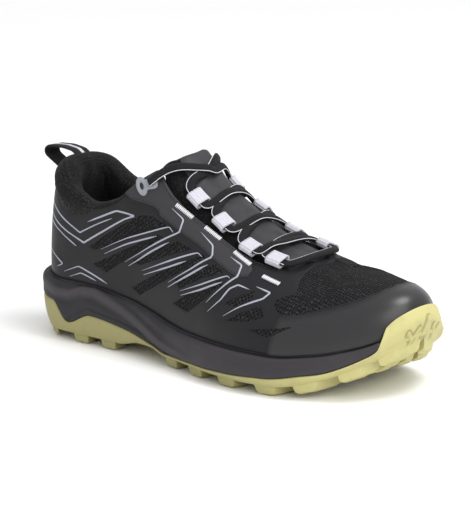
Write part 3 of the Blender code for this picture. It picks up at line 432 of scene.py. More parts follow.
# %% [markdown]
# Finishes are node trees. This helper keeps them short: it adds a node, fills its sockets with numbers
# or with other nodes' outputs, and hands the node back. Every finish ends in one Principled shader.
# %% Building finishes
class Finish:
    def __init__(self, name, colour, roughness, **sockets):
        self.material = bpy.data.materials.new(name)
        self.material.use_nodes = True
        self.tree = self.material.node_tree
        self.shader = self.tree.nodes["Principled BSDF"]
        self.shader.inputs["Base Color"].default_value = (*colour, 1)
        self.shader.inputs["Roughness"].default_value = roughness
        for key, value in sockets.items():
            self.shader.inputs[key.replace("_", " ")].default_value = value

    def add(self, kind, sockets=None, out=0, **settings):
        node = self.tree.nodes.new("ShaderNode" + kind)
        for key, value in settings.items():
            setattr(node, key, value)
        for key, value in (sockets or {}).items():
            if isinstance(value, bpy.types.NodeSocket):
                self.tree.links.new(value, node.inputs[key])
            else:
                node.inputs[key].default_value = value
        return node.outputs[out]

    def math(self, operation, a, b):
        return self.add("Math", {0: a, 1: b}, operation=operation)

    def times(self, a, b):
        return self.math("MULTIPLY", a, b)

    def plus(self, a, b):
        return self.math("ADD", a, b)

    def mark(self, name):
        return self.add("Attribute", out="Fac", attribute_name=name)

    def step(self, value, low, high):
        """0 below low, 1 above high, and a soft edge between them."""
        return self.add("MapRange", {"Value": value, "From Min": low, "From Max": high},
                        interpolation_type="SMOOTHSTEP")

    def mix(self, part, first, second):
        sockets = {0: part}
        for index, value in ((6, first), (7, second)):
            sockets[index] = value if isinstance(value, bpy.types.NodeSocket) else (*value, 1)
        return self.add("Mix", sockets, out=2, data_type="RGBA")

    def noise(self, where, scale, detail=2.0, rough=0.5):
        return self.add("TexNoise", {"Vector": where, "Scale": scale, "Detail": detail, "Roughness": rough})

    def flat(self, scale=(1, 1, 1), turn=0.0):
        uv = self.add("UVMap", uv_map="pattern")
        return self.add("Mapping", {"Vector": uv, "Scale": scale, "Rotation": (0, 0, turn)})

    def local(self, scale=(1, 1, 1)):
        place = self.add("TexCoord", out="Object")
        return self.add("Mapping", {"Vector": place, "Scale": scale})

    def dots(self, where, pitch, randomness=0.0):
        """Distance from the nearest point of a lattice, 0 at each point."""
        sockets = {"Vector": where, "Scale": 1 / pitch, "Randomness": randomness}
        return self.add("TexVoronoi", sockets, out="Distance")

    def bump(self, height, distance, strength):
        return self.add("Bump", {"Height": height, "Distance": distance, "Strength": strength})

    def use(self, **sockets):
        for key, value in sockets.items():
            self.tree.links.new(value, self.shader.inputs[key.replace("_", " ")])
        return self.material


def grainy_finish(name, base, roughness, specular, tones, grain, relief, skin=None):
    """A plain finish: one noise turns between two tones, and it or a finer one, skin, gives the relief."""
    paint = Finish(name, base, roughness, Specular_IOR_Level=specular)
    place = paint.local()
    noise = paint.noise(place, *grain)
    height = paint.noise(place, *skin) if skin else noise
    return paint.use(Base_Color=paint.mix(noise, *tones), Normal=paint.bump(height, *relief))


# %% [markdown]
# The rubber outsole is lime, dusty in random patches. Its change of colour along the shoe is painted light
# and shade: darker and a little browner at the heel and the middle, where the light falls off, and paler
# towards the toe, which faces the key light. Thin dark lines beside the toe bumper's blocks are painted
# shade for the grooves round them. Moulded rubber has a fine even grain and a dull sheen, so noise drives a
# low bump and the roughness.
# %% Rubber finish
def rubber_finish():
    paint = Finish("rubber_lime", (0.40, 0.37, 0.16), 0.6, Specular_IOR_Level=0.25)
    place = paint.local()
    along = paint.add("SeparateXYZ", {0: place}, out=0)
    # Painted light and shade: darker at the heel and the middle, paler towards the toe, which faces the key
    # light.
    pale = paint.mix(paint.step(along, 0.02, 0.13), (0.31, 0.285, 0.122), (0.50, 0.465, 0.205))
    dust = paint.step(paint.noise(place, 90, 4, 0.6), 0.45, 0.75)
    colour = paint.mix(paint.times(dust, 0.22), pale, (0.22, 0.20, 0.12))
    # Painted shade: the groove mark darkens the rubber in thin lines round the bumper blocks.
    colour = paint.mix(paint.times(paint.mark("groove"), 0.55), colour, (0.10, 0.09, 0.035))
    grain = paint.noise(place, 2600, 2)
    rough = paint.plus(paint.times(paint.noise(place, 60, 3), 0.22), 0.42)
    return paint.use(Base_Color=colour, Roughness=rough, Normal=paint.bump(grain, 0.0002, 0.35))


RUBBER_LIME = rubber_finish()
print("finish", RUBBER_LIME.name)

# %% [markdown]
# The outsole is a shallow tray of rubber that laps up the foam and licks up at heel and toe. It is a loft
# of closed lines round the shoe, fine enough for its raised lip and for the small blocks moulded on the
# toe bumper, which are pushed out from the wall where the flat pattern of the wall says so.
# %% Outsole tray
SOLE = outline(460)
TOE_LAP, RUBBER_LIP, FOAM_GAP = 0.0034, 0.0018, 0.0003
FLOOR_DRAWN_IN = 0.27


def tuck(share):
    """How far the sole's underside is drawn in from its outline."""
    return WIDTH * read(SECTIONS, TUCK, share)


def toe_lap(share):
    """How far the rubber leans in over the toe."""
    return TOE_LAP * smooth((share - 0.954) / 0.016)


def sole_ring(by, height, own=False):
    """A closed line round the sole, inset by `by`, at the height where it lies or its column's own."""
    _, share, _, edge, inward = SOLE
    spots = edge + inward * np.broadcast_to(by, share.shape)[:, None]
    here = spots[:, 0] / LENGTH
    high = height(share) - sole_line(share) + sole_line(here) if own else height(here)
    return np.column_stack([spots, high])


def line_distance(spots, line):
    """Distance of each 2-D spot from a polyline."""
    best = np.full(len(spots), np.inf)
    for a, b in zip(line[:-1], line[1:]):
        a, b = np.array(a, float), np.array(b, float)
        t = np.clip(((spots - a) @ (b - a)) / max((b - a) @ (b - a), 1e-12), 0, 1)
        best = np.minimum(best, np.linalg.norm(spots - a - t[:, None] * (b - a), axis=1))
    return best


def rubber_top(share):
    return np.maximum(side_height(RUBBER, share), underside(share) + RUBBER_BASE + FOAM_GAP)


def make_tray():
    percent, share = SOLE[:2]
    plain, rows, low_edge = np.zeros(len(share)), 48, 0.0006
    lines, groove_shades = [sole_ring(tuck(share) + 0.0008, underside)], [plain]
    for k in range(rows):
        part = k / (rows - 1)
        lean = 0.75 * tuck(share) * (1 - part) ** 2.2 + 0.0002
        foot = lambda at: underside(at) + low_edge
        rise = lambda at, part=part: foot(at) + (rubber_top(at) - underside(at) - low_edge) * part
        up = (rise(share) - sole_line(share)) * 1000
        wall = np.column_stack([percent * PERCENT, up])
        push, nearest = np.zeros(len(share)), np.full(len(share), 9.0)
        for line, wide, out in BUMPER_BLOCKS:
            away = line_distance(wall, millimetres(line))
            push = np.maximum(push, out * smooth((wide - away) / 0.8 + 0.5))
            nearest = np.minimum(nearest, away - wide)
        edge_roll = 0.0006 * smooth((part - 0.90) / 0.10)
        lap = toe_lap(share) * smooth((part - 0.35) / 0.65)
        lines.append(sole_ring(lean - push + edge_roll + lap, rise, own=True))
        # Painted shade: a dark line just outside each bumper block, where a groove would shade the wall.
        groove_shades.append(bell(nearest - 0.5, 0.55))
    floor_inset = RUBBER_LIP + FLOOR_DRAWN_IN * tuck(share)
    lines.append(sole_ring(RUBBER_LIP + toe_lap(share), rubber_top, own=True))
    lines.append(sole_ring(floor_inset, lambda at: underside(at) + RUBBER_BASE))
    return loft("outsole_rubber", lines, RUBBER_LIME, groove=groove_shades + [plain] * 2)


BUMPER_BLOCKS = (
    # line on the wall as (percent round, millimetres up), half width, how far it stands out
    (((96.2, 1.5), (96.8, 6.8), (95.7, 10.4)), 1.1, 0.0012),
    (((96.8, 6.8), (98.0, 10.6)), 1.1, 0.0012),
    (((99.5, 8.0), (100.0, 15.0)), 1.4, 0.0013),
)
outsole = make_tray()
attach(outsole, "root")
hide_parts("outsole")
print("outsole tray", len(outsole.data.polygons), "faces")

# %% [markdown]
# Lugs bite into the ground. Each is a tapered block with softened edges and a thin cut across its face.
# They stand in rows that lean forward under the heel and back under the forefoot, and a row is written
# once and mirrored about the centre line.
# %% Lugs
LUGS = (
    # at, length, spans across as shares of the tread's half width, lean towards the toe
    (0.036, 0.042, ((0.10, 0.98),), 0.028),
    (0.143, 0.046, ((0.10, 0.46), (0.58, 1.00)), 0.022),
    (0.228, 0.046, ((0.10, 0.46), (0.58, 1.00)), 0.022),
    (0.474, 0.040, ((0.56, 1.00),), -0.014),
    (0.563, 0.048, ((0.08, 0.42), (0.54, 1.00)), -0.018),
    (0.663, 0.050, ((0.08, 0.42), (0.54, 1.00)), -0.018),
    (0.763, 0.050, ((0.08, 0.42), (0.54, 1.00)), -0.018),
    (0.845, 0.044, ((0.08, 0.42), (0.54, 1.00)), -0.020),
    (0.918, 0.036, ((0.08, 0.42), (0.54, 0.98)), -0.022),
    (0.968, 0.026, ((0.12, 0.90),), -0.022),
)


def tread_point(share, across):
    """A place under the sole. across runs from -1 at the lateral edge of the tread to 1 at the medial."""
    half = read(SECTIONS, OUTER if across < 0 else INNER, share)
    wide = 1.0
    if share < HEEL_AXIS:
        wide = (1 - (1 - share / HEEL_AXIS) ** HEEL_ROUND) ** (1 / HEEL_ROUND)
    if share > TOE_AXIS:
        wide = (1 - ((share - TOE_AXIS) / (1 - TOE_AXIS)) ** TOE_ROUND) ** (1 / TOE_ROUND)
    reach = WIDTH * half * wide - tuck(share)
    return LENGTH * share, WIDTH * float(read(SECTIONS, SPINE, share)) + across * float(reach)


def lug(bm, at, long, near, far, lean, side):
    """A block of 7 by 7 columns whose tip follows the sole line, with a sipe across its middle."""
    steps, taper_at_tip, buried = 7, 0.13, 0.0014
    edge_soft, corner_soft, sipe = 0.0007, 0.0011, 0.0016
    tops, feet = ([[None] * steps for _ in range(steps)] for _ in range(2))
    for a in range(steps):
        for b in range(steps):
            u, v = 2 * a / (steps - 1) - 1, b / (steps - 1)
            for layer, taper, high in ((tops, taper_at_tip, 0), (feet, 0.0, 1)):
                across = (near + far) / 2 + (v - 0.5) * (far - near) * (1 - taper)
                share = at + u * long / 2 * (1 - taper) + lean * (near + (far - near) * v)
                x, y = tread_point(share, side * across)
                z = float(underside(share)) + buried if high else float(sole_line(share))
                corner = (abs(u) > 0.9) + (v < 0.05 or v > 0.95)
                if not high:
                    z += edge_soft * (corner > 0) + corner_soft * (corner > 1)
                    z += sipe * (a == steps // 2 and 0 < b < steps - 1)
                layer[a][b] = bm.verts.new(Vector((x, y, z)) + Vector(SHIFT))
    for layer in (tops, feet):
        for a in range(steps - 1):
            for b in range(steps - 1):
                bm.faces.new((layer[a][b], layer[a + 1][b], layer[a + 1][b + 1], layer[a][b + 1]))
    for k in range(steps - 1):
        for a0, b0, a1, b1 in ((k, 0, k + 1, 0), (k, steps - 1, k + 1, steps - 1),
                               (0, k, 0, k + 1), (steps - 1, k, steps - 1, k + 1)):
            bm.faces.new((tops[a0][b0], tops[a1][b1], feet[a1][b1], feet[a0][b0]))


bm = bmesh.new()
for at, long, spans, lean in LUGS:
    for side in (-1, 1):
        for near, far in spans:
            lug(bm, at, long, near, far, lean, side)
bmesh.ops.recalc_face_normals(bm, faces=bm.faces)
mesh = bpy.data.meshes.new("lugs")
bm.to_mesh(mesh)
bm.free()
mesh.materials.append(RUBBER_LIME)
lugs = into_scene("lugs", mesh)
edges = lugs.modifiers.new("Soft edges", "BEVEL")
edges.width = 0.0005
edges.segments = 2
edges.angle_limit = math.radians(40)
apply_modifiers(lugs)
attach(lugs, "root")
print("lugs", len(lugs.data.polygons), "faces")

# %% [markdown]
# The midsole is moulded foam, dark grey and a little lighter in random worn patches. A mark on its points
# paints light: the band under the swoop along the wall, which catches the light, and the forefoot's wall
# are painted lighter and a little browner.
# %% Foam finish
def foam_finish():
    paint = Finish("foam_grey", (0.030, 0.027, 0.032), 0.62, Specular_IOR_Level=0.25)
    place = paint.local()
    # Painted light: the swoop mark lightens the band under the swoop's ridge and the forefoot's wall.
    swoop = paint.mark("swoop")
    tone = paint.mix(swoop, (0.019, 0.0175, 0.021), (0.048, 0.043, 0.047))
    wear = paint.times(paint.step(paint.noise(place, 55, 4, 0.6), 0.5, 0.8), 0.35)
    colour = paint.mix(wear, tone, (0.050, 0.046, 0.050))
    rough = paint.plus(paint.times(paint.noise(place, 120, 3), 0.20), 0.46)
    skin = paint.bump(paint.noise(place, 1900, 2), 0.00018, 0.30)
    return paint.use(Base_Color=colour, Roughness=rough, Normal=skin)


FOAM_GREY = foam_finish()

# %% [markdown]
# The foam is a cup whose wall carries soft shapes: a rolled flange under the upper, the swoop that runs
# from the heel to the arch, a fine groove over the rubber and a bite line under the rim. Each is a line on
# the wall with a width and a depth, added to a smooth wall, as a mould maker cuts them.
# %% Midsole
# Lines on the wall as (percent round, millimetres up): the swoop's upper edge, and the groove.
SWOOP_TOP = ((0, 36), (8, 35), (13, 34.2), (16, 32.0), (19, 32.2), (22, 35.6), (25.3, 36), (29, 33), (33, 29),
             (37, 24), (44, 15.5), (52, 12), (64, 12), (78, 13), (90, 9))
GROOVE = ((18.1, 13.0), (20.9, 18.4), (24.1, 23.8), (26.6, 22.3), (31.6, 20.6), (36.9, 17.4), (41, 11.8),
          (46, 8.6))


def make_midsole():
    percent, share = SOLE[:2]
    plain, rows = np.zeros(len(share)), 34

    def inside(at):
        """How far the foam has drawn in behind the toe's rubber."""
        return smooth((at - 0.953) / 0.009)

    def foot(at):
        on_rubber = rubber_top(at) + FOAM_GAP
        return on_rubber + (underside(at) + RUBBER_BASE + 0.0009 - on_rubber) * inside(at)

    def rim(at):
        lip = np.maximum(side_height(RIM, at), rubber_top(at) + 0.0013)
        return lip + (footbed(at) + FOAM_GAP - lip) * inside(at)

    def drawn(by):
        return by + (upper_inset(share) - 0.0006 - by) * inside(share)

    foot_inset = 0.0024
    floor_inset = foot_inset + FLOOR_DRAWN_IN * tuck(share)
    lines = [sole_ring(floor_inset, lambda at: underside(at) + RUBBER_BASE + FOAM_GAP),
             sole_ring(drawn(foot_inset), foot, own=True)]
    swoops = [plain, plain]
    rim_inset = upper_inset(share) - 0.0019
    swoop_line = np.interp(percent, *np.array(SWOOP_TOP).T) / 1000
    fade = smooth((58 - percent) / 20)
    for k in range(rows):
        part = k / (rows - 1)
        rise = lambda at, part=part: foot(at) + (rim(at) - foot(at)) * part
        up = rise(share) - sole_line(share)
        wall = np.column_stack([percent * PERCENT, up * 1000])
        by = 0.0006 * (1 - smooth(part / 0.10)) + 0.0012 * smooth((part - 0.25) / 0.6) * (1 - 0.5 * fade)
        by = by + rim_inset * smooth((part - 0.72) / 0.28) ** 1.5 * 0.85
        above = (up - swoop_line) * 1000
        step_in = smooth((above + 0.6) / 1.6) * (1 - smooth((above - 1.2) / 5.5)) * fade
        swell = bell(above + 2.2, 2.4) * fade
        below = bell(above + 6.6, 2.2) * fade * smooth((percent - 8) / 8)
        by = by + 0.0011 * step_in - 0.0006 * swell + 0.0005 * below
        groove = line_distance(wall, millimetres(GROOVE))
        by = by + 0.0007 * bell(groove, 0.7)
        by = by + 0.0010 * bell(part - 0.955, 0.022)
        lines.append(sole_ring(drawn(by), rise, own=True))
        # Painted light: the band under the swoop's ridge catches the light, and the forefoot's wall is lit
        # too.
        lit = smooth((1.0 - above) / 1.8) * smooth((above + 7.5) / 6.0) * fade
        swoops.append(np.clip(lit + 0.55 * (1 - fade) * (part < 0.9), 0, 1))
    lines.append(sole_ring(drawn(rim_inset), lambda at: rim(at) + 0.0002, own=True))
    lines.append(sole_ring(upper_inset(share) - FOAM_GAP, rim, own=True))
    lines.append(sole_ring(upper_inset(share) - FOAM_GAP, lambda at: footbed(at) - FOAM_GAP))
    return loft("midsole_foam", lines, FOAM_GREY, swoop=swoops + [plain] * 3)


midsole = make_midsole()
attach(midsole, "root")
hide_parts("midsole")
print("midsole", len(midsole.data.polygons), "faces")

# %% [markdown]
# The upper's side is a thin film welded over knitted mesh, with long windows cut in the film. The windows
# are polygons on the flat pattern. For every point of the upper, the distance to the nearest window's
# edge is stored as a number at the point, and the finish turns that number into a crisp edge.
# %% The upper's pattern
WINDOWS = (
    ((23.1, 32.5), (29.0, 45.0), (32.5, 52.0), (36.2, 59.5), (38.8, 61.0), (42.8, 59.0), (38.8, 52.5),
     (30.9, 39.0), (25.2, 32.0)),
    ((24.4, 23.0), (28.1, 20.0), (33.4, 32.0), (39.1, 44.0), (42.5, 51.5), (40.6, 52.0), (35.0, 41.0),
     (29.4, 31.0)),
    ((34.4, 31.5), (40.3, 43.0), (45.6, 52.5), (49.4, 51.0), (43.1, 41.0), (36.8, 31.0)),
    ((34.4, 15.8), (36.7, 13.2), (44.4, 29.5), (49.7, 40.5), (52.8, 49.0), (51.7, 50.5), (48.4, 43.0),
     (42.2, 32.0)),
    ((46.4, 31.5), (51.2, 40.5), (55.0, 47.5), (57.5, 44.5), (53.8, 38.5), (47.8, 27.0)),
    ((46.2, 17.6), (50.6, 16.0), (55.3, 28.0), (58.4, 38.0), (57.3, 40.0), (54.4, 33.5), (50.9, 27.5)),
    ((60.0, 28.0), (63.1, 35.0), (65.0, 38.5), (65.4, 33.0), (62.5, 27.0)),
    ((60.6, 18.5), (65.0, 26.5), (67.5, 30.5), (69.1, 24.5), (65.9, 20.5)),
    ((66.0, 16.5), (70.9, 19.0), (75.6, 20.8), (70.6, 13.8)),
)
VAMP = ((71.0, 120), (70.2, 60), (70.9, 52.5), (72.2, 42.5), (69.2, 34.5), (71.2, 27.6), (75.0, 27.2),
        (80.0, 29.6), (86.0, 30.8), (93.4, 32.0), (101, 33), (101, 120))
EYESTAY = ((29.0, 77), (30.4, 70.5), (34.0, 66.6), (38.9, 66.8), (40.2, 65.4), (40.5, 63.0), (43.1, 60.5),
           (46.2, 57.5), (50.3, 54.5), (54.1, 50.0), (59.0, 45.3), (60.9, 44.6), (62.4, 46.6), (62.3, 51.0),
           (60.8, 56.0), (60.2, 64.0), (60.0, 120), (29.0, 120))
KNIT = ((-1, 61), (8.0, 62.0), (12.8, 60.5), (15.6, 54.0), (19.1, 50.3), (22.2, 51.3), (25.3, 56.5),
        (28.5, 62.5), (29.5, 70.0), (29.0, 120), (-1, 120))
TOE_CAP = ((70.5, -5), (71.8, 26.0), (75.0, 26.4), (80.0, 27.8), (86.0, 28.8), (93.4, 30.2), (101, 31),
           (101, -5))


def cut(pattern, corners):
    """Signed distance in millimetres to a polygon on the flat pattern, positive inside it."""
    line, spots = list(millimetres(corners)), millimetres(pattern)
    away = line_distance(spots, line + line[:1])
    within = np.zeros(len(spots), bool)
    for (ax, ay), (bx, by) in zip(line, line[1:] + line[:1]):
        crosses = (ay > spots[:, 1]) != (by > spots[:, 1])
        at = ax + (spots[:, 1] - ay) * (bx - ax) / (by - ay if by != ay else TINY)
        within ^= crosses & (spots[:, 0] < at)
    return np.where(within, away, -away)


# %% [markdown]
# One finish holds the whole upper: film, open mesh, the knit round the ankle, and the smooth toe cap. The
# marks choose between them. The film has a fine square emboss and a low sheen, and the mesh is a lattice
# of dark holes between shiny yarns.
# %% Upper finish
def upper_finish():
    paint = Finish("upper_textile", (0.015, 0.015, 0.016), 0.6, Specular_IOR_Level=0.15,
                   Coat_Roughness=0.33, Coat_IOR=1.45)
    flat, place = paint.flat(), paint.local()
    window, vamp = paint.mark("window"), paint.mark("vamp")
    open_mesh = paint.step(paint.math("MAXIMUM", window, vamp), -0.12, 0.18)
    knit = paint.step(paint.mark("knit"), -0.4, 0.4)
    cap = paint.step(paint.mark("cap"), -1.0, 4.0)
    eyestay = paint.step(paint.mark("eyestay"), -0.15, 0.15)
    speckle = paint.noise(place, 900, 3, 0.7)
    emboss = {"Vector": flat, "Scale": 1.0, "Mortar Size": 0.00013, "Brick Width": 0.0013,
              "Row Height": 0.0011, "Mortar Smooth": 0.4}
    square = paint.add("TexBrick", emboss, out="Fac", offset=0.0)
    film = paint.mix(paint.times(speckle, 0.6), (0.008, 0.0075, 0.009), (0.019, 0.018, 0.021))
    film = paint.mix(paint.times(square, 0.75), film, (0.004, 0.004, 0.005))
    plain = paint.mix(paint.times(speckle, 0.4), (0.034, 0.032, 0.036), (0.048, 0.046, 0.051))
    film = paint.mix(eyestay, film, plain)
    glossy = paint.mix(paint.times(speckle, 0.4), (0.012, 0.0115, 0.013), (0.020, 0.019, 0.022))
    film = paint.mix(cap, film, glossy)
    turned = paint.flat(turn=math.radians(40))
    side_holes = paint.dots(turned, 0.0021, 0.18)
    top_holes = paint.dots(paint.local((1, 1, 0)), 0.0017, 0.12)
    on_vamp = paint.step(vamp, -0.3, 0.3)
    holes = paint.add("Mix", {0: on_vamp, 2: side_holes, 3: top_holes})
    yarn = paint.step(holes, 0.20, 0.42)
    strand = paint.mix(paint.step(speckle, 0.50, 0.66), (0.010, 0.010, 0.011), (0.042, 0.041, 0.045))
    mesh = paint.mix(yarn, (0.0012, 0.0012, 0.0014), strand)
    loops = paint.dots(paint.flat(scale=(1, 0.72, 1)), 0.0013, 0.55)
    fleck = paint.step(paint.noise(place, 1500, 2), 0.54, 0.66)
    knitted = paint.mix(fleck, (0.005, 0.005, 0.0055), (0.052, 0.051, 0.054))
    colour = paint.mix(open_mesh, film, mesh)
    colour = paint.mix(knit, colour, knitted)
    rough = paint.add("Mix", {0: cap, 2: 0.54, 3: 0.34})
    rough = paint.plus(rough, paint.times(open_mesh, 0.25))
    rough = paint.plus(rough, paint.times(paint.noise(place, 70, 3), 0.12))
    not_mesh = paint.math("SUBTRACT", 1.0, paint.math("MAXIMUM", open_mesh, knit))
    gloss = paint.times(not_mesh, paint.add("Mix", {0: cap, 2: 0.28, 3: 0.9}))
    relief = paint.times(square, paint.times(not_mesh, -0.40))
    relief = paint.plus(relief, paint.times(paint.times(yarn, open_mesh), 0.9))
    relief = paint.plus(relief, paint.times(paint.times(loops, knit), 1.0))
    relief = paint.plus(relief, not_mesh)
    return paint.use(Base_Color=colour, Roughness=rough, Coat_Weight=gloss,
                     Normal=paint.bump(relief, 0.00045, 0.8))


UPPER_TEXTILE = upper_finish()

# %% [markdown]
# The insole is covered with a soft dark knit, seen through the collar, whose small dots are a lattice in
# space. It hardly reflects, so the inside of the shoe stays dark.
# %% Sock liner finish
def liner_finish():
    paint = Finish("sock_liner", (0.006, 0.006, 0.0065), 0.9, Sheen_Weight=0.05, Specular_IOR_Level=0.1)
    place = paint.local()
    rib = paint.dots(place, 0.0014, 0.35)
    tone = paint.mix(paint.step(rib, 0.2, 0.7), (0.003, 0.003, 0.0034), (0.012, 0.012, 0.013))
    return paint.use(Base_Color=tone, Normal=paint.bump(rib, 0.0004, 0.7))


SOCK_LINER = liner_finish()

# %% [markdown]
# The upper is one closed shell: an outer skin with fine columns, a rim, and a plain inner skin. Film
# stands proud of the mesh, a seam is a narrow groove, and a few soft troughs are placed where a
# worn-in pattern creases: behind the toe, and round the ankle.
# %% Upper
ROLL = ((0, 11.5), (10, 12.0), (14, 12.5), (17, 10.0), (20, 5.0), (23, 2.2), (30, 2.0), (38, 2.0), (39, 0.0))
FAR = 8.0
CREASES = (
    # line on the pattern, width in millimetres, depth in millimetres
    (((66.0, 66), (72.0, 58), (79.0, 46)), 4.5, 0.6),
    (((70.0, 78), (76.5, 66), (84.0, 52)), 5.0, 0.6),
    (((16.0, 26), (22.0, 34), (30.0, 58)), 6.0, 0.5),
)


def roll_width(percent):
    """How far down outside the collar's padding reaches."""
    return np.interp(percent, *np.array(ROLL).T) / 1000


def make_upper():
    percent, share, side = FINE[:3]
    rows, inner_rows, count = 74, 14, len(percent)
    ends = TOPS - np.maximum(roll_width(percent) - 0.0015, 0) * (share < THROAT_TOP)
    part = np.linspace(0, 1, rows)
    runs = ends[:, None] * part
    flat = np.stack([np.repeat(percent[:, None], rows, 1), runs * 1000], -1).reshape(-1, 2)
    marks = {"window": np.max([cut(flat, window) for window in WINDOWS], axis=0), "vamp": cut(flat, VAMP),
             "knit": cut(flat, KNIT), "cap": cut(flat, TOE_CAP), "eyestay": cut(flat, EYESTAY)}
    marks = {key: np.clip(value, -FAR, FAR) for key, value in marks.items()}
    open_mesh = smooth((np.maximum(marks["window"], marks["vamp"]) + 0.3) / 0.8)
    lift = 0.00045 * (1 - open_mesh) + 0.00045 * smooth((marks["eyestay"] + 0.4) / 0.8)
    lift += 0.0007 * smooth((marks["knit"] - 0.2) / 3.0) + 0.0003 * smooth((marks["cap"] + 0.4) / 0.8)
    for key in ("eyestay", "cap", "knit"):
        lift -= 0.00035 * bell(marks[key] + 0.5, 0.5)
    for line, wide, deep in CREASES:
        away = line_distance(millimetres(flat), millimetres(line))
        lift += deep / 1000 * (0.5 * bell(away - 1.7 * wide, wide) - bell(away, wide))
    lift = lift.reshape(count, rows) * smooth(part / 0.04)
    behind = smooth((share - 0.40) / 0.04) * smooth((0.71 - share) / 0.03) * (side > 0)
    lift += 0.0024 * behind[:, None] * smooth(1 - (TOPS[:, None] - runs) / 0.009)
    outer, inner = [], []
    for i in range(count):
        spot, facing = on_arch(POINTS, i, runs[i]), on_arch(NORMALS, i, runs[i])
        outer.append(spot + facing * lift[i][:, None])
        pick = np.linspace(rows - 1, 0, inner_rows).round().astype(int)
        inner.append(spot[pick] - facing[pick] * WALL)
    total = rows + inner_rows
    points = np.concatenate([np.stack(outer), np.stack(inner)], axis=1).reshape(-1, 3)
    faces = []
    for i in range(count):
        a, b = i * total, ((i + 1) % count) * total
        rim = min(share[i], share[(i + 1) % count]) < THROAT_END - 0.001
        for k in range(total):
            if k == rows - 1 and not rim:
                continue
            n = (k + 1) % total
            faces.append((a + k, b + k, b + n, a + n))
    wide = np.zeros((count, total, 2))
    wide[..., 0] = (side * percent)[:, None] * PERCENT / 1000
    wide[:, :rows, 1] = runs
    within = np.full((count, inner_rows), -FAR)
    marks = {key: np.hstack([value.reshape(count, rows), within]).ravel() for key, value in marks.items()}
    return piece("upper_shell", points, faces, UPPER_TEXTILE, flat=wide.reshape(-1, 2), marks=marks)


upper = make_upper()
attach(upper, "root")
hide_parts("upper")
print("upper", len(upper.data.polygons), "faces")

# %% [markdown]
# Padded pieces are stuffed, so they get a short cloth simulation: the cover is pinned along its seams and
# blown up a little from inside, which rounds it as foam does. A cap on how far a point may move keeps the
# seams and neighbours clear.
# %% Puffing a pad
def puff(made, pins, cap, pressure=4.0, frames=18):
    """Pressure inside a pinned cover. pins is a weight from 0, free, to 1, held, for each point."""
    rest = np.array([vert.co for vert in made.data.vertices])
    group = made.vertex_groups.new(name="seams")
    for index, weight in enumerate(pins):
        group.add([index], float(weight), "REPLACE")
    cloth = made.modifiers.new("Cloth", "CLOTH")
    settings = cloth.settings
    settings.vertex_group_mass = "seams"
    settings.use_pressure = True
    settings.uniform_pressure_force = pressure
    settings.tension_stiffness = settings.compression_stiffness = 12.0
    settings.bending_stiffness = 0.6
    settings.mass = 0.3
    settings.quality = 6
    settings.effector_weights.gravity = 0
    cloth.collision_settings.use_collision = False
    cloth.collision_settings.use_self_collision = False
    cloth.point_cache.frame_start, cloth.point_cache.frame_end = 1, frames
    for frame_number in range(1, frames + 1):
        bpy.context.scene.frame_set(frame_number)
    graph = bpy.context.evaluated_depsgraph_get()
    mesh = made.evaluated_get(graph).to_mesh()
    moved = np.array([vert.co for vert in mesh.vertices])
    made.evaluated_get(graph).to_mesh_clear()
    made.modifiers.clear()
    made.vertex_groups.clear()
    bpy.context.scene.frame_set(1)
    shift = np.nan_to_num(moved - rest)
    length = np.linalg.norm(shift, axis=1)[:, None]
    shift *= np.minimum(1, cap / np.maximum(length, TINY))
    made.data.vertices.foreach_set("co", (rest + shift).ravel())
    made.data.update()
    print(made.name, "blown out by", round(float(length.max()) * 1000, 2), "mm, capped at", cap * 1000, "mm")
    return made


def subdivide(made):
    smoother = made.modifiers.new("Smooth cover", "SUBSURF")
    smoother.levels = smoother.render_levels = 1
    return apply_modifiers(made)


# %% [markdown]
# The collar is a padded tube of fine speckled knit. It starts at a seam outside the heel, rolls over the
# rim and runs deep down inside as the heel's lining. Towards the throat it narrows to a thin binding.
# %% Collar
def knit_finish(name, dark, light, pitch):
    paint = Finish(name, dark, 0.85, Sheen_Weight=0.04, Specular_IOR_Level=0.12)
    flat, place = paint.flat(scale=(1, 0.75, 1)), paint.local()
    stitch = paint.dots(flat, pitch, 0.35)
    fleck = paint.step(paint.noise(place, 1300, 3, 0.6), 0.47, 0.66)
    colour = paint.mix(fleck, dark, light)
    colour = paint.mix(paint.step(stitch, 0.35, 0.6), colour, tuple(0.5 * value for value in dark))
    return paint.use(Base_Color=colour, Normal=paint.bump(stitch, 0.0004, 0.8))


COLLAR_KNIT = knit_finish("collar_knit", (0.006, 0.006, 0.0065), (0.030, 0.029, 0.031), 0.0011)
COLLAR_LAST = 38.0


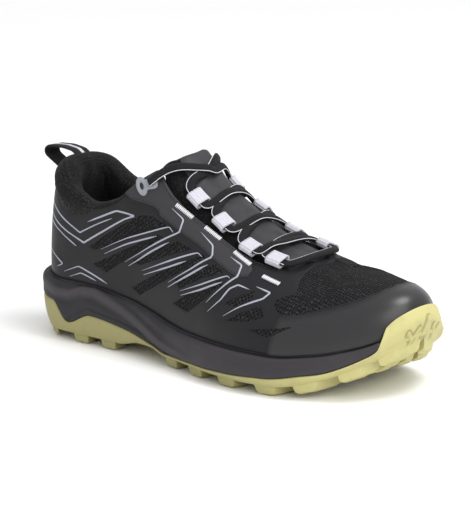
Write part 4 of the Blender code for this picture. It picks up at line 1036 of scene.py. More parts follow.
def make_collar():
    percent, side = FINE[0], FINE[2]
    pick = [i for i in range(len(percent)) if percent[i] <= COLLAR_LAST + 0.2]
    pick = sorted(pick, key=lambda i: side[i] * percent[i])[::2]
    # Points round the tube, and how far round it the outside, the roll over the rim and the inside end.
    profile, outside, over, inside = 30, 0.34, 0.56, 0.92
    rings, pins, flat = [], [], []
    for i in pick:
        near = float(smooth((COLLAR_LAST - percent[i]) / 26.0))
        wide = float(roll_width(percent[i])) + 0.0006
        thick = 0.0030 + 0.0110 * near
        deep = 0.010 + 0.030 * near
        top = TOPS[i]
        turn = min(thick / 2, 0.0032)
        ring, held = [], []
        for k in range(profile):
            t = k / (profile - 1)
            held.append(1.0 if t < 0.12 * outside or t >= inside else 0.0)
            if t < outside:
                u = t / outside
                run = top - wide + (wide - turn) * u
                out = 0.0004 + 0.0014 * near * math.sin(math.pi * u) ** 0.7 + 0.0004 * u
            elif t < over:
                angle = math.pi * (t - outside) / (over - outside)
                run = top - turn + (turn + 0.0020 * near) * math.sin(angle)
                out = 0.0008 - thick / 2 + thick / 2 * math.cos(angle)
            elif t < inside:
                u = (t - over) / (inside - over)
                run = top - turn - (deep - turn) * u
                out = 0.0008 - thick * (1 - 0.62 * smooth(u)) - 0.0012 * near * math.sin(math.pi * u)
            else:
                u = (t - inside) / (1 - inside)
                run = top - deep + (deep - wide) * u
                out = -0.0014
            ring.append(on_arch(POINTS, i, run) + on_arch(NORMALS, i, run) * out)
            flat.append((side[i] * percent[i] * PERCENT / 1000, (top - run if t < 0.45 else run - top) + 0.1))
        rings.append(ring)
        pins.append(held)
    count = len(rings)
    points = np.array(rings).reshape(-1, 3)
    faces = []
    for i in range(count - 1):
        for k in range(profile):
            n = (k + 1) % profile
            faces.append((i * profile + k, (i + 1) * profile + k, (i + 1) * profile + n, i * profile + n))
    faces.append(list(range(profile)))
    faces.append([(count - 1) * profile + k for k in range(profile)][::-1])
    made = piece("collar_pad", points, faces, COLLAR_KNIT, flat=flat)
    for j in (0, 1, count - 2, count - 1):
        pins[j] = [1.0] * profile
    puff(made, np.array(pins).ravel(), cap=0.0010)
    return subdivide(made)


collar = make_collar()
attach(collar, "root")
print("collar", len(collar.data.polygons), "faces")

# %% [markdown]
# The tongue is a padded sheet under the laces. Knit pads lie beside a smooth printed film down its
# middle, and its top ends in two ears. The film is a mark on the tongue's own flat pattern.
# %% Tongue
def tongue_finish():
    paint = Finish("tongue_knit", (0.006, 0.006, 0.0065), 0.85, Sheen_Weight=0.04, Specular_IOR_Level=0.15)
    flat, place = paint.flat(), paint.local()
    film = paint.step(paint.mark("film"), -0.15, 0.15)
    stitch = paint.dots(flat, 0.0012, 0.3)
    fleck = paint.step(paint.noise(place, 1300, 3, 0.6), 0.5, 0.68)
    knit = paint.mix(fleck, (0.0035, 0.0035, 0.004), (0.022, 0.022, 0.024))
    smooth_film = paint.mix(paint.noise(place, 160, 4), (0.026, 0.025, 0.028), (0.052, 0.050, 0.055))
    colour = paint.mix(film, knit, smooth_film)
    rough = paint.add("Mix", {0: film, 2: 0.85, 3: 0.48})
    relief = paint.times(stitch, paint.math("SUBTRACT", 1.0, film))
    relief = paint.plus(relief, film)
    return paint.use(Base_Color=colour, Roughness=rough, Normal=paint.bump(relief, 0.0004, 0.7))


TONGUE_KNIT = tongue_finish()


def instep_frame(share, y):
    """A point on the instep and its normal."""
    step = 0.0005
    high = float(instep(share, y))
    along = Vector((step, 0, float(instep(share + step / LENGTH, y)) - high)).normalized()
    across = Vector((0, step, float(instep(share, y + step)) - high)).normalized()
    return Vector((LENGTH * share, y, high)), along.cross(across).normalized()


def make_tongue():
    rows, columns, thickness = 46, 24, 0.0050
    under_wall, under_film = 0.0007, 0.0006
    clear = WALL + under_wall + under_film
    layers, flats, films, pins = [], [], [], []
    for depth in (0, 1):
        for k in range(rows + 1):
            for j in range(columns + 1):
                across = 2 * j / columns - 1
                start = 0.362 + 0.035 * (1 - across**2)
                share = start + (0.745 - start) * k / rows
                half = 0.0200 + 0.0085 * float(smooth((share - 0.362) / 0.053))
                here, normal = instep_frame(share, across * half)
                down = clear + 0.0014 * float(smooth((share - 0.56) / 0.10))
                rim = max(abs(across), 1 - 2.0 * k / 6 if k < 3 else 0)
                thick = thickness * (1 - 0.75 * smooth((rim - 0.80) / 0.20))
                channel = float(bell(abs(across) - 0.50, 0.07))
                away = float(throat_half(max(share, THROAT_TOP), across)) - abs(across * half)
                filled = smooth(away / 0.006) * smooth((share - 0.355) / 0.03)
                filled = float(filled * smooth((0.735 - share) / 0.03))
                if depth == 0:
                    below = down + 0.0010 * channel + (thickness - thick) / 2 * (1 - filled)
                    below -= filled * (0.0034 + 0.0008 * float(smooth((0.012 - abs(across * half)) / 0.006)))
                    below -= filled * 0.0013 * float(smooth((across * half - 0.001) / 0.006))
                else:
                    below = down + thickness - (thickness - thick) / 2
                layers.append(here - normal * below)
                flats.append((across * half, share * LENGTH))
                films.append((0.44 - abs(across)) * half * 1000 if depth == 0 else -5.0)
                pins.append(1.0 if depth or abs(across) > 0.93 or channel > 0.7 or k == rows else 0.0)
    size = (rows + 1) * (columns + 1)
    at = lambda depth, k, j: depth * size + k * (columns + 1) + j
    faces = []
    for depth in (0, 1):
        for k in range(rows):
            for j in range(columns):
                faces.append((at(depth, k, j), at(depth, k, j + 1), at(depth, k + 1, j + 1),
                              at(depth, k + 1, j)))
    for k in range(rows):
        for j in (0, columns):
            faces.append((at(0, k, j), at(0, k + 1, j), at(1, k + 1, j), at(1, k, j)))
    for j in range(columns):
        for k in (0, rows):
            faces.append((at(0, k, j), at(0, k, j + 1), at(1, k, j + 1), at(1, k, j)))
    made = piece("tongue_pad", layers, faces, TONGUE_KNIT, flat=flats, marks={"film": films})
    puff(made, pins, cap=0.0008)
    return subdivide(made)


tongue = make_tongue()
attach(tongue, "root")
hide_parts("tongue")
print("tongue", len(tongue.data.polygons), "faces")

# %% [markdown]
# The insole lies on the foam inside. Only its heel shows through the collar, as dark cloth over a thin
# sheet of foam with a rolled edge.
# %% Insole
def make_insole():
    share, lines = SOLE[1], []
    profile = ((0.0000, 0.0029), (0.0030, 0.0031), (0.0038, 0.0038), (0.0040, 0.0052), (0.0040, 0.0090))
    for rise, by in profile:
        lines.append(sole_ring(upper_inset(share) + by, lambda at, rise=rise: footbed(at) + rise))
    return loft("insole_cover", lines, SOCK_LINER)


insole = make_insole()
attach(insole, "root")
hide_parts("insole")

# %% [markdown]
# Silver lines are printed on the film. Each is a thin ribbon that follows its points on the pattern,
# widest in the middle of its run and tapered at its ends, and it stands a hair above the film.
# %% Silver lines
SILVER = grainy_finish("reflective_silver", (0.33, 0.345, 0.41), 0.45, 0.3,
                       ((0.29, 0.30, 0.36), (0.41, 0.42, 0.49)), (2400, 2), (0.0001, 0.3))
LINES = (
    # pattern points, width at the start, in the middle and at the end, in millimetres
    (((11.0, 54.5), (13.2, 51.6), (16.6, 46.4), (20.9, 40.3)), 0.7, 1.0, 1.0),
    (((20.9, 40.3), (24.8, 46.4), (29.1, 52.6)), 1.0, 0.7, 0.15),
    (((11.0, 47.8), (13.6, 44.6), (17.5, 39.6), (21.9, 34.6)), 0.7, 1.0, 1.1),
    (((21.9, 34.6), (27.2, 44.2), (32.2, 54.0), (34.6, 57.6)), 1.1, 1.2, 1.3),
    (((34.6, 57.6), (32.4, 57.8), (30.0, 57.5), (26.6, 52.5), (22.8, 47.3)), 1.2, 1.2, 0.15),
    (((11.6, 43.0), (15.3, 39.0), (19.9, 31.8)), 0.9, 0.8, 0.15),
    (((10.8, 26.0), (13.4, 23.4), (16.2, 19.5), (14.2, 16.8)), 0.8, 0.8, 0.2),
    (((16.6, 15.0), (20.6, 20.0), (24.0, 17.0), (28.1, 13.2)), 0.3, 1.1, 0.15),
    (((18.1, 12.6), (21.2, 16.2), (25.2, 13.2)), 0.3, 0.9, 0.15),
    (((26.6, 33.0), (32.8, 43.2), (39.1, 52.4), (43.1, 58.4), (44.2, 56.2)), 0.15, 0.9, 0.3),
    (((27.5, 30.8), (32.8, 39.8), (40.6, 51.0)), 0.3, 1.1, 0.15),
    (((32.8, 29.5), (39.4, 44.2), (45.6, 57.5), (45.6, 65.0), (42.8, 68.8)), 0.15, 1.1, 0.2),
    (((33.8, 28.0), (39.4, 41.0), (43.8, 50.2)), 0.3, 1.1, 0.15),
    (((37.2, 28.0), (43.1, 37.8), (50.6, 50.3), (51.7, 48.8)), 0.15, 1.1, 0.3),
    (((37.8, 26.2), (44.7, 37.0), (48.6, 43.6)), 0.3, 1.1, 0.15),
    (((44.7, 28.0), (50.0, 40.2), (53.8, 51.0), (52.9, 57.2), (49.7, 61.8)), 0.15, 1.1, 0.2),
    (((44.7, 25.3), (50.3, 37.8), (53.5, 45.8)), 0.3, 1.1, 0.15),
    (((48.1, 26.2), (53.1, 33.8), (58.4, 43.3), (59.2, 42.2)), 0.15, 1.0, 0.3),
    (((48.4, 24.0), (53.1, 30.8), (57.9, 39.2)), 0.3, 1.0, 0.15),
    (((55.4, 25.6), (58.0, 34.8), (60.5, 45.0), (60.0, 51.8), (57.1, 54.6)), 0.15, 1.2, 0.2),
    (((56.1, 21.0), (58.9, 29.2), (60.0, 36.4), (61.4, 39.8), (64.0, 38.6)), 0.15, 1.1, 0.2),
    (((60.3, 21.0), (63.4, 27.7), (67.3, 34.7), (68.0, 39.3), (65.0, 41.2)), 0.15, 1.2, 0.3),
)


def ribbon(pattern, side, widths, lift, steps=10):
    """Centre and edge points of a smooth ribbon through places on the pattern, with softened corners."""
    at, fine = millimetres(pattern), []
    for a, b in zip(at[:-1], at[1:]):
        fine += [a + (b - a) * k / steps for k in range(steps)]
    fine = np.array(fine + [at[-1]])
    soften(fine, 2)
    run = run_along(fine)
    run /= run[-1]
    start, middle, end = widths
    half = np.interp(run, [0, 0.5, 0.85, 1], [start, middle, middle * 0.95, end]) / 2
    heading = unit(np.gradient(fine, axis=0))
    across = np.stack([-heading[:, 1], heading[:, 0]], 1)
    rows = []
    over = 0.00045 * smooth((cut(fine / (PERCENT, 1), EYESTAY) + 0.6) / 0.8)
    for offset, high in ((-1, -0.0004), (-0.8, lift), (0, lift * 1.15), (0.8, lift), (1, -0.0004)):
        spot = (fine + across * (half * offset)[:, None]) / (PERCENT, 1)
        rows.append(wrap(spot, side, high + over)[0])
    return np.stack(rows, 1)


def make_lines():
    points, faces = [], []
    for side in (-1, 1):
        for pattern, *widths in LINES:
            strip = ribbon(pattern, side, widths, 0.00072)
            start = len(points)
            points += list(strip.reshape(-1, 3))
            faces += [[start + at for at in face] for face in grid_faces(len(strip), 5, False)]
    return piece("silver_lines", points, faces, SILVER, solid=False)


silver = make_lines()
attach(silver, "root")
print("silver lines", len(LINES) * 2)

# %% [markdown]
# Webbing loops carry the lace. Each is a short sleeve of ribbed tape, off-white, whose ribs run the way
# the lace does. A stadium outline with a wavy outer side is swept along the throat's edge and flares a
# little at both ends.
# %% Webbing loops
WEBBING_WHITE = grainy_finish("webbing_white", (0.48, 0.47, 0.52), 0.75, 0.2,
                              ((0.36, 0.35, 0.40), (0.66, 0.65, 0.70)), (1700, 3, 0.6), (0.0002, 0.5))
LATERAL_LOOPS = (0.463, 0.533, 0.614, 0.681)
MEDIAL_LOOPS = (0.442, 0.516, 0.598, 0.688)
LOOP_LENGTH, LOOP_WIDTH, LOOP_HEIGHT, LOOP_WALL = 0.0095, 0.0100, 0.0052, 0.0011
RIB_PITCH = 0.00165
LACE_LIFT = LOOP_HEIGHT / 2 + 0.0006


def beside_throat(share, side, run):
    """The instep's frame at a distance down its arch from the lacing line, on one side."""
    crown = float(crown_line(np.array(share))[1])
    half = WIDTH * float(read(SECTIONS, OUTER if side < 0 else INNER, share)) - float(upper_inset(share))
    edge = WIDTH * float(read(SECTIONS, SPINE, share)) + side * half
    across = np.linspace(crown, edge, 241)
    high = instep(np.full(241, share), across)
    down = run_along(np.stack([across, high], 1))
    start = np.interp(WIDTH * float(read(THROAT, 3, share)), side * across, down)
    return instep_frame(share, float(np.interp(start + run, down, across)))


def loop_seat(share, side):
    """A loop's centre over the throat's edge, its normal, and its direction along the edge."""
    inboard = -0.30 * LOOP_WIDTH
    here, normal = beside_throat(share, side, inboard)
    ahead = beside_throat(share + 0.01, side, inboard)[0]
    behind = beside_throat(share - 0.01, side, inboard)[0]
    return here + normal * LACE_LIFT, normal, (ahead - behind).normalized()


def stadium(half_long, half_high, count, ribs=0.0):
    """A flattened ring of points, each half a straight and a round end. ribs is how far they stand out."""
    found = []
    straight = 2 * (half_long - half_high)
    half_way = straight + math.pi * half_high
    for k in range(count):
        run = 2 * half_way * k / count
        way = 1 if run < half_way else -1
        part = run if way > 0 else run - half_way
        along = min(part, straight)
        angle = math.pi / 2 - (part - along) / half_high
        reach = half_high + ribs * abs(math.sin(math.pi * run / RIB_PITCH)) ** 0.6
        x = along - straight / 2 + reach * math.cos(angle)
        found.append((way * x, way * reach * math.sin(angle)))
    return found


def make_loops(side, places):
    points, faces = [], []
    around, along = 96, 7
    outer = stadium(LOOP_WIDTH / 2 - 0.00025, LOOP_HEIGHT / 2 - 0.00025, around, 0.0003)
    inner = stadium(LOOP_WIDTH / 2 - LOOP_WALL, LOOP_HEIGHT / 2 - LOOP_WALL, around)
    for share in places:
        centre, normal, edge = loop_seat(share, side)
        across = edge.cross(normal).normalized()
        start = len(points)
        for ring in (outer, inner):
            for k in range(along):
                t = 2 * k / (along - 1) - 1
                reach = LOOP_LENGTH / 2 * t
                flare = 1 + (0.03 * t * t if ring is outer else 0)
                for x, y in ring:
                    points.append(centre + across * x * flare + normal * (y * flare) + edge * reach)
        for layer in (0, 1):
            for k in range(along - 1):
                ring_start = start + (layer * along + k) * around
                faces += band(ring_start, ring_start + around, around)
        for k in (0, along - 1):
            faces += band(start + k * around, start + (along + k) * around, around)
    word = "lateral" if side < 0 else "medial"
    return piece("webbing_" + word, points, faces, WEBBING_WHITE)


for side, word, places in ((-1, "lateral", LATERAL_LOOPS), (1, "medial", MEDIAL_LOOPS)):
    loops = make_loops(side, places)
    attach(loops, "root")
    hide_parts(*[f"webbing_loop_{word}_{number}" for number in (1, 2, 3, 4)])
    print("webbing loops", word, len(loops.data.polygons), "faces")

# %% [markdown]
# The lace runs in two strands from the bar at the toe end, through every loop, to the plates at the top,
# where its ends are tucked out of sight. Each strand is a smooth path that stays at one height over the
# instep, and where two strands cross, one is lifted over the other.
# %% Lace route
LACE_WIDTH, LACE_HALF_HIGH, LACE_STRAIGHT, LACE_BEND, LACE_STEP = 0.0050, 0.00145, 0.0018, 0.0220, 0.0012
PLATE_AT, PLATE_DOWN, PLATE_LEAN_X, PLATE_LEAN_UP, PLATE_NECK = 0.340, 0.200, 0.73, 0.683, 0.0135


def plate_point(side, along, across, lift):
    """A point over the eyestay in the plate's own measures, along its neck and across it."""
    ahead = along * PLATE_LEAN_X - across * PLATE_LEAN_UP
    down = WIDTH * PLATE_DOWN - along * PLATE_LEAN_UP - across * PLATE_LEAN_X
    here, normal = beside_throat(PLATE_AT + ahead / LENGTH, side, down)
    return here + normal * lift


def plate_stop(side):
    """Where a strand ends over a plate's neck, and its heading there."""
    here, ahead = (plate_point(side, part * PLATE_NECK, 0, 0) for part in (0.55, 0.80))
    return here, (here - ahead).normalized()


def top_stop(share, side):
    """Where a strand passes over the tongue's top on its way to a side's plate, and its heading there."""
    return instep_frame(share, 0.0)[0], Vector((-0.30, side, 0)).normalized()


def lace_stops(stops):
    """Points and headings through each loop on the way, which runs ahead, 1, or back, -1."""
    points = []
    for share, side, way in stops:
        centre, normal, edge = loop_seat(share, side)
        reach = LOOP_LENGTH / 2 + LACE_STRAIGHT
        for part in (-1, 0, 1):
            points.append((centre - normal * LACE_LIFT + edge * (way * part * reach), edge * way))
    return points


def strand(points):
    """A path over the instep through points with headings, and its upward directions."""
    path, up = [], []
    for (here, heading), (there, heading_there) in zip(points[:-1], points[1:]):
        span = (there - here).length
        pull = min(span, LACE_BEND)
        steps = max(2, round(span / LACE_STEP))
        for j in range(steps):
            start, leave, end, arrive = hermite(j / steps)
            spot = here * start + heading * pull * leave
            spot = spot + there * end + heading_there * pull * arrive
            ground, normal = instep_frame(spot.x / LENGTH, spot.y)
            path.append(ground + normal * LACE_LIFT)
            up.append(normal)
    return np.array(path), np.array(up)


FIRST = ((LATERAL_LOOPS[3], -1, 1), (MEDIAL_LOOPS[3], 1, -1), (LATERAL_LOOPS[2], -1, -1),
         (MEDIAL_LOOPS[1], 1, -1), (LATERAL_LOOPS[0], -1, -1))
SECOND = ((LATERAL_LOOPS[3], -1, -1), (MEDIAL_LOOPS[2], 1, -1), (LATERAL_LOOPS[1], -1, -1),
          (MEDIAL_LOOPS[0], 1, -1))
STRANDS = [strand(lace_stops(FIRST)[1:] + [top_stop(0.432, 1), plate_stop(1)]),
           strand(lace_stops(SECOND) + [top_stop(0.436, -1), plate_stop(-1)])]


def part_crossings(strands):
    """Lifts one strand over the other where they cross, alternately, in a long low hump."""
    apart = 12
    (first, up_first), (second, up_second) = strands
    gap = np.linalg.norm(first[:, None, :2] - second[None, :, :2], axis=2)
    crossings, over = [], 1
    while gap.min() < LACE_STEP and len(crossings) < 8:
        i, j = np.unravel_index(gap.argmin(), gap.shape)
        crossings.append((i, j))
        gap[max(i - apart, 0):i + apart] = 1
    for i, j in sorted(crossings):
        if i < apart:
            continue
        for path, up, at, way in ((first, up_first, i, over), (second, up_second, j, -over)):
            away = np.abs(np.arange(len(path)) - at) * LACE_STEP
            path += up * ((0.0021 if way > 0 else -0.0008) * bell(away, 0.0055))[:, None]
        over = -over
    return len(crossings)


print("lace crossings", part_crossings(STRANDS))
print("lace strands, mm", [round(1000 * run_along(path)[-1]) for path, _ in STRANDS])

# %% [markdown]
# The lace is an oval cord of black braid, with a fine white thread along one edge. The braid is a lattice
# of small dots turned by 45 degrees on the cord's own flat pattern.
# %% Lace finish
def lace_finish():
    paint = Finish("lace_cord", (0.006, 0.006, 0.007), 0.85, Sheen_Weight=0.04, Specular_IOR_Level=0.15)
    flat = paint.flat(turn=math.radians(45))
    braid = paint.dots(flat, 0.0009, 0.1)
    place = paint.local()
    colour = paint.mix(paint.step(braid, 0.2, 0.6), (0.016, 0.0155, 0.017), (0.004, 0.004, 0.0045))
    colour = paint.mix(paint.step(paint.noise(place, 1500, 2), 0.6, 0.75), colour, (0.03, 0.03, 0.032))
    height = paint.math("SUBTRACT", 1.0, braid)
    return paint.use(Base_Color=colour, Normal=paint.bump(height, 0.0003, 0.7))


LACE_CORD = lace_finish()
LACE_PIPING = grainy_finish("lace_piping", (0.60, 0.59, 0.63), 0.6, 0.2,
                            ((0.40, 0.39, 0.43), (0.74, 0.73, 0.77)), (1900, 2), (0.0002, 0.4))

# %% [markdown]
# Both strands are swept with an oval section for the cord, and once more, beside it, with a thin round one
# for the white thread.
# %% Laces
def sweep(paths, half_wide, half_high, sides, offset=0.0, sink=0.0):
    """Tubes along paths with closed ends. offset moves the section across, towards an edge."""
    points, faces, flat = [], [], []
    for path, up in paths:
        heading = unit(np.gradient(path, axis=0))
        across = unit(np.cross(heading, up))
        rise, run = np.cross(across, heading), run_along(path)
        start = len(points)
        for k in range(len(path)):
            for j in range(sides):
                a = 2 * math.pi * (j + 0.5) / sides
                x = half_wide * math.copysign(abs(math.cos(a)) ** 0.8, math.cos(a))
                y = half_high * math.sin(a)
                points.append(path[k] + across[k] * (offset + x) + rise[k] * (y - sink))
                flat.append((abs(a - math.pi) * half_wide, run[k]))
        faces += tube(start, len(path), sides)
    return points, faces, flat


points, faces, flat = sweep(STRANDS, LACE_WIDTH / 2, LACE_HALF_HIGH, 16)
lace = piece("lace_cord_run", points, faces, LACE_CORD, flat=flat)
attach(lace, "root")
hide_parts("lace")
PIPING = 0.00026
points, faces, _ = sweep(STRANDS, PIPING, PIPING, 6, offset=-LACE_WIDTH / 2 + 0.0001, sink=-0.0005)
piping = piece("lace_piping_run", points, faces, LACE_PIPING)
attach(piping, "root")
print("lace", len(lace.data.polygons), "faces, piping", len(piping.data.polygons))

# %% [markdown]
# A small plate of clear-grey film, shaped like a bone, holds the top eyelet. Its outline is drawn flat
# from arcs, wrapped over the eyestay, and given thickness and softened edges.
# %% Eyelet plates
EYELET_FILM = grainy_finish("eyelet_film", (0.26, 0.27, 0.30), 0.42, 0.3,
                            ((0.22, 0.23, 0.26), (0.32, 0.33, 0.36)), (260, 3), (0.0001, 0.3), (1400, 2))


def make_plate(side):
    """Rings of points from the hole out to the bone-shaped edge, wrapped and closed underneath."""
    spokes, radius, hole = 72, 0.0047, 0.0018
    angles = [2 * math.pi * k / spokes for k in range(spokes)]
    edge_ring = []
    for c, s in ((math.cos(a), math.sin(a)) for a in angles):
        reach = radius
        for step in range(40):
            r = radius + (PLATE_NECK + 0.002 - radius) * step / 39
            x, y = r * c, abs(r * s)
            half = 0.0024 + 0.0024 * float(smooth((x - 0.0085) / 0.0055)) if x > 0.003 else 0
            half *= 1 - 0.75 * float(smooth((x - PLATE_NECK + 0.0012) / 0.0012))
            if y < half:
                reach = r
        edge_ring.append((reach * c, reach * s))
    edge_ring = np.array(edge_ring)
    for _ in range(2):
        edge_ring = edge_ring * 0.5 + (np.roll(edge_ring, 1, 0) + np.roll(edge_ring, -1, 0)) * 0.25
    hole_ring = np.array([(hole * math.cos(a), hole * math.sin(a)) for a in angles])
    layers = (
        # part of the way from the hole to the edge, height over the eyestay
        (0.00, 0.0004), (0.00, 0.0014), (0.12, 0.00175), (0.5, 0.0018), (0.90, 0.00175), (1.0, 0.0014),
        (1.0, 0.0004),
    )
    points, faces = [], []
    for layer, (part, lift) in enumerate(layers):
        for x, y in hole_ring + (edge_ring - hole_ring) * part:
            points.append(plate_point(side, x, y, lift))
        faces += band(layer * spokes, ((layer + 1) % len(layers)) * spokes, spokes)
    return piece("plate_" + ("lateral" if side < 0 else "medial"), points, faces, EYELET_FILM)


for side, word in ((-1, "lateral"), (1, "medial")):
    plate = make_plate(side)
    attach(plate, "root")
    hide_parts("eyelet_plate_" + word)
print("two eyelet plates")

# %% [markdown]
# The pull loop behind the heel is a folded strap of black webbing with a white stripe down its outer
# face. A flat ribbon is swept along the fold, and the stripe is a mark on it.
# %% Pull loop
def strap_finish():
    paint = Finish("strap_black", (0.006, 0.006, 0.007), 0.85, Sheen_Weight=0.04, Specular_IOR_Level=0.15)
    flat = paint.flat()
    stripe = paint.step(paint.mark("stripe"), -0.2, 0.2)
    rib = paint.add("TexWave", {"Vector": flat, "Scale": 260}, out="Fac", bands_direction="Y")
    fleck = paint.noise(paint.local(), 1500, 2)
    black = paint.mix(fleck, (0.004, 0.004, 0.0045), (0.016, 0.016, 0.017))
    white = paint.mix(fleck, (0.40, 0.40, 0.44), (0.62, 0.62, 0.66))
    return paint.use(Base_Color=paint.mix(stripe, black, white), Normal=paint.bump(rib, 0.0003, 0.6))


STRAP_BLACK = strap_finish()
PULL_WIDTH, PULL_THICKNESS, PULL_REACH, PULL_GAP = 0.0120, 0.0016, 0.0250, 0.0065


def make_pull():
    heel, facing = POINTS[0], NORMALS[0]
    run = int(np.searchsorted(heel[:, 2], COLLAR_TOP - 2.0 * PULL_GAP))
    low = Vector(heel[run]) + Vector(facing[run]) * (PULL_THICKNESS / 2 + 0.0003)
    top = Vector(heel[int(np.searchsorted(heel[:, 2], COLLAR_TOP))])
    high = top + Vector((0.001, 0, PULL_THICKNESS / 2 + 0.0009))
    radius = PULL_GAP / 2
    bend = Vector((high.x - PULL_REACH + radius, 0, high.z - radius + 0.001))
    stops = [low, low.lerp(bend, 0.45) + Vector((-0.001, 0, -0.0015))]
    for k in range(7):
        angle = math.radians(-100 - 170 * k / 6)
        stops.append(bend + Vector((math.cos(angle), 0, math.sin(angle))) * radius)
    stops += [bend.lerp(high, 0.55) + Vector((0, 0, radius * 0.75)), high, high + Vector((0.005, 0, -0.0035))]
    stops = np.array(stops)
    at = run_along(stops)
    fine = np.linspace(0, at[-1], 64)
    path = np.stack([np.interp(fine, at, stops[:, k]) for k in range(3)], 1)
    soften(path, 5)
    rise = np.cross(unit(np.gradient(path, axis=0)), (0, 1, 0))
    points, flat, stripe = [], [], []
    columns = 12
    for k in range(len(path)):
        for layer in (1, -1):
            for j in range(columns + 1):
                across = (2 * j / columns - 1) * layer
                edge = 1 - 0.55 * smooth((abs(across) - 0.82) / 0.18)
                beside = np.array([0, PULL_WIDTH / 2 * across, 0])
                points.append(path[k] + rise[k] * layer * PULL_THICKNESS / 2 * edge + beside)
                flat.append((across * PULL_WIDTH / 2, fine[k]))
                stripe.append((0.20 - abs(across)) * PULL_WIDTH * 500 if layer > 0 else -3.0)
    faces = tube(0, len(path), 2 * (columns + 1))
    return piece("pull_strap", points, faces, STRAP_BLACK, flat=flat, marks={"stripe": stripe})


pull = make_pull()
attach(pull, "root")
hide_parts("pull_loop")
print("pull strap", len(pull.data.polygons), "faces")

# %% [markdown]
# Rows of thread are the same stitch over and over, so one node tree sets them out. It takes a line of
# points that carries its own upward direction, spaces stitches evenly along it, and turns each to face
# along the line and out of the surface. Seams use a long thin stitch, and the white bars that hold the
# webbing down use a wide one.
# %% Thread rows
def thread_tree():
    tree = bpy.data.node_groups.new("thread row", "GeometryNodeTree")
    face = tree.interface
    face.new_socket("Line", in_out="INPUT", socket_type="NodeSocketGeometry")
    for name, value in (("Spacing", 0.003), ("Along", 0.001), ("Across", 0.0003), ("Height", 0.0003)):
        face.new_socket(name, in_out="INPUT", socket_type="NodeSocketFloat").default_value = value
    face.new_socket("Thread", in_out="INPUT", socket_type="NodeSocketMaterial")
    face.new_socket("Stitches", in_out="OUTPUT", socket_type="NodeSocketGeometry")
    add, link = tree.nodes.new, tree.links.new
    given, out = add("NodeGroupInput"), add("NodeGroupOutput")
    curve, even = add("GeometryNodeMeshToCurve"), add("GeometryNodeResampleCurve")
    stitch, place = add("GeometryNodeMeshUVSphere"), add("GeometryNodeInstanceOnPoints")
    turn, size = add("FunctionNodeAxesToRotation"), add("ShaderNodeCombineXYZ")
    up, heading = add("GeometryNodeInputNamedAttribute"), add("GeometryNodeInputTangent")
    whole, paint = add("GeometryNodeRealizeInstances"), add("GeometryNodeSetMaterial")
    soft = add("GeometryNodeSetShadeSmooth")
    even.mode = "LENGTH"
    up.data_type = "FLOAT_VECTOR"
    up.inputs["Name"].default_value = "up"
    turn.primary_axis, turn.secondary_axis = "Z", "X"
    stitch.inputs["Segments"].default_value, stitch.inputs["Rings"].default_value = 8, 5
    stitch.inputs["Radius"].default_value = 1.0
    for source, socket, target, into in (
        (given, "Line", curve, "Mesh"), (curve, "Curve", even, "Curve"), (given, "Spacing", even, "Length"),
        (even, "Curve", place, "Points"), (stitch, "Mesh", place, "Instance"),
        (turn, "Rotation", place, "Rotation"),
        (given, "Along", size, "X"), (given, "Across", size, "Y"), (given, "Height", size, "Z"),
        (size, "Vector", place, "Scale"), (place, "Instances", whole, "Geometry"),
        (whole, "Geometry", soft, "Geometry"), (soft, "Geometry", paint, "Geometry"),
        (given, "Thread", paint, "Material"), (paint, "Geometry", out, "Stitches"),
        (up, "Attribute", turn, "Primary Axis"), (heading, "Tangent", turn, "Secondary Axis"),
    ):
        link(source.outputs[socket], target.inputs[into])
    return tree


THREAD_ROW = thread_tree()
DARK_THREAD = Finish("thread_dark", (0.014, 0.014, 0.015), 0.6, Specular_IOR_Level=0.3).use()
WHITE_THREAD = Finish("thread_white", (0.66, 0.65, 0.68), 0.6, Specular_IOR_Level=0.2).use()


def thread_rows(name, rows, finish, **sizes):
    """Stitches along rows of (points, upward directions), in metres in the shoe's own frame."""
    points = np.concatenate([row for row, _ in rows]) + SHIFT
    upward = np.concatenate([up for _, up in rows])
    edges, start = [], 0
    for row, _ in rows:
        edges += [(start + k, start + k + 1) for k in range(len(row) - 1)]
        start += len(row)
    mesh = bpy.data.meshes.new(name + "_line")
    mesh.from_pydata(points.tolist(), edges, [])
    mesh.attributes.new("up", "FLOAT_VECTOR", "POINT").data.foreach_set("vector", upward.ravel())
    made = into_scene(name, mesh)
    modifier = made.modifiers.new("Thread row", "NODES")
    modifier.node_group = THREAD_ROW
    wanted = {**sizes, "Thread": finish}
    for socket in THREAD_ROW.interface.items_tree:
        if socket.in_out == "INPUT" and socket.name in wanted:
            modifier[socket.identifier] = wanted[socket.name]
    apply_modifiers(made)
    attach(made, "root")
    print(name, len(made.data.polygons), "faces")


def pattern_row(places, side, lift, steps=12):
    """A row over the upper through places on the flat pattern, with its upward directions."""
    at = np.array(places, float)
    fine = [np.linspace(a, b, steps, endpoint=False) for a, b in zip(at[:-1], at[1:])]
    return wrap(np.concatenate(fine + [at[-1:]]), side, lift)


def edge_row(side, inside, lift):
    """A row beside the throat's edge, a little way down from it."""
    percent, share, sides = FINE[:3]
    pick = [i for i in range(len(share)) if sides[i] * side > 0 and 0.372 < share[i] < 0.700]
    pick.sort(key=lambda i: share[i])
    return pattern_row([(percent[i], TOPS[i] * 1000 - inside) for i in pick], side, lift, 2)


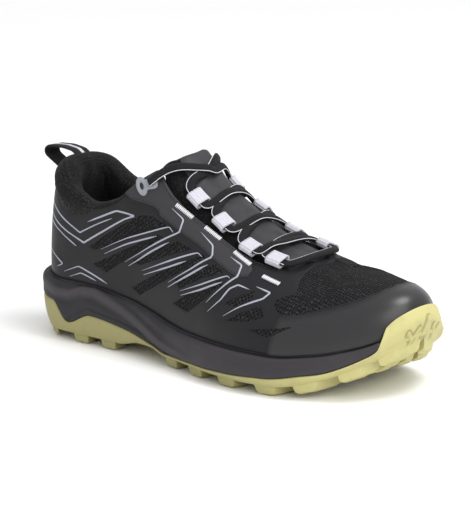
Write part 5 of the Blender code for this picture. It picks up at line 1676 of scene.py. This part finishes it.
# %% [markdown]
# Two seams run beside the throat's edge and one follows the eyestay's outline, in dark thread. The four
# white bars on each side lie beside the webbing loops.
# %% Seams and bars
BARS = (((43.4, 71.5), (46.9, 68.0)), ((50.0, 65.5), (53.4, 62.5)), ((57.2, 58.5), (61.2, 54.0)),
        ((65.0, 48.5), (68.4, 46.0)))
seams = [edge_row(side, inside, 0.00085) for side in (-1, 1) for inside in (1.1, 2.3)]
seams += [pattern_row([(a, b + 0.9) for a, b in EYESTAY[2:-3]], side, 0.0009) for side in (-1, 1)]
thread_rows("thread_seams", seams, DARK_THREAD, Spacing=0.0024, Along=0.0010, Across=0.00024, Height=0.00024)
bars = [pattern_row(bar, side, 0.0010) for side in (-1, 1) for bar in BARS]
thread_rows("thread_bars", bars, WHITE_THREAD, Spacing=0.00105, Along=0.00044, Across=0.00150, Height=0.00060)

# %% [markdown]
# The setting is a plain pale floor under soft studio light: a very wide sun from the front right as the
# key, a disk overhead that gives the toe its sheen, and a white surround that fills the shadows.
# %% Floor and lights
def floor_finish():
    paint = Finish("floor_white", (0.93,) * 3, 0.9)
    return paint.use(Base_Color=paint.mix(paint.noise(paint.local(), 3), (0.925,) * 3, (0.935,) * 3))


bpy.ops.mesh.primitive_plane_add(size=8, location=(0, 0, 0))
floor = bpy.context.object
floor.name = "floor"
floor.data.materials.append(floor_finish())


def light(name, kind, place, target, energy, **settings):
    """A light at a place, turned to a target."""
    lamp = into_scene(name, bpy.data.lights.new(name, kind))
    lamp.data.energy = energy
    for key, value in settings.items():
        setattr(lamp.data, key, value)
    lamp.location = place
    lamp.rotation_euler = (Vector(target) - Vector(place)).to_track_quat("-Z", "Y").to_euler()


light("key", "SUN", (1.3, -0.5, 1.0), (0, 0, 0), 1.4, angle=math.radians(50))
light("overhead", "AREA", (0.55, 0.15, 1.2), (0, 0, 0.05), 9, shape="DISK", size=0.6)
world = bpy.data.worlds.new("studio")
world.use_nodes = True
world.node_tree.nodes["Background"].inputs["Color"].default_value = (1, 1, 1, 1)
world.node_tree.nodes["Background"].inputs["Strength"].default_value = 0.78
bpy.context.scene.world = world
bpy.context.scene.view_settings.view_transform = "Standard"
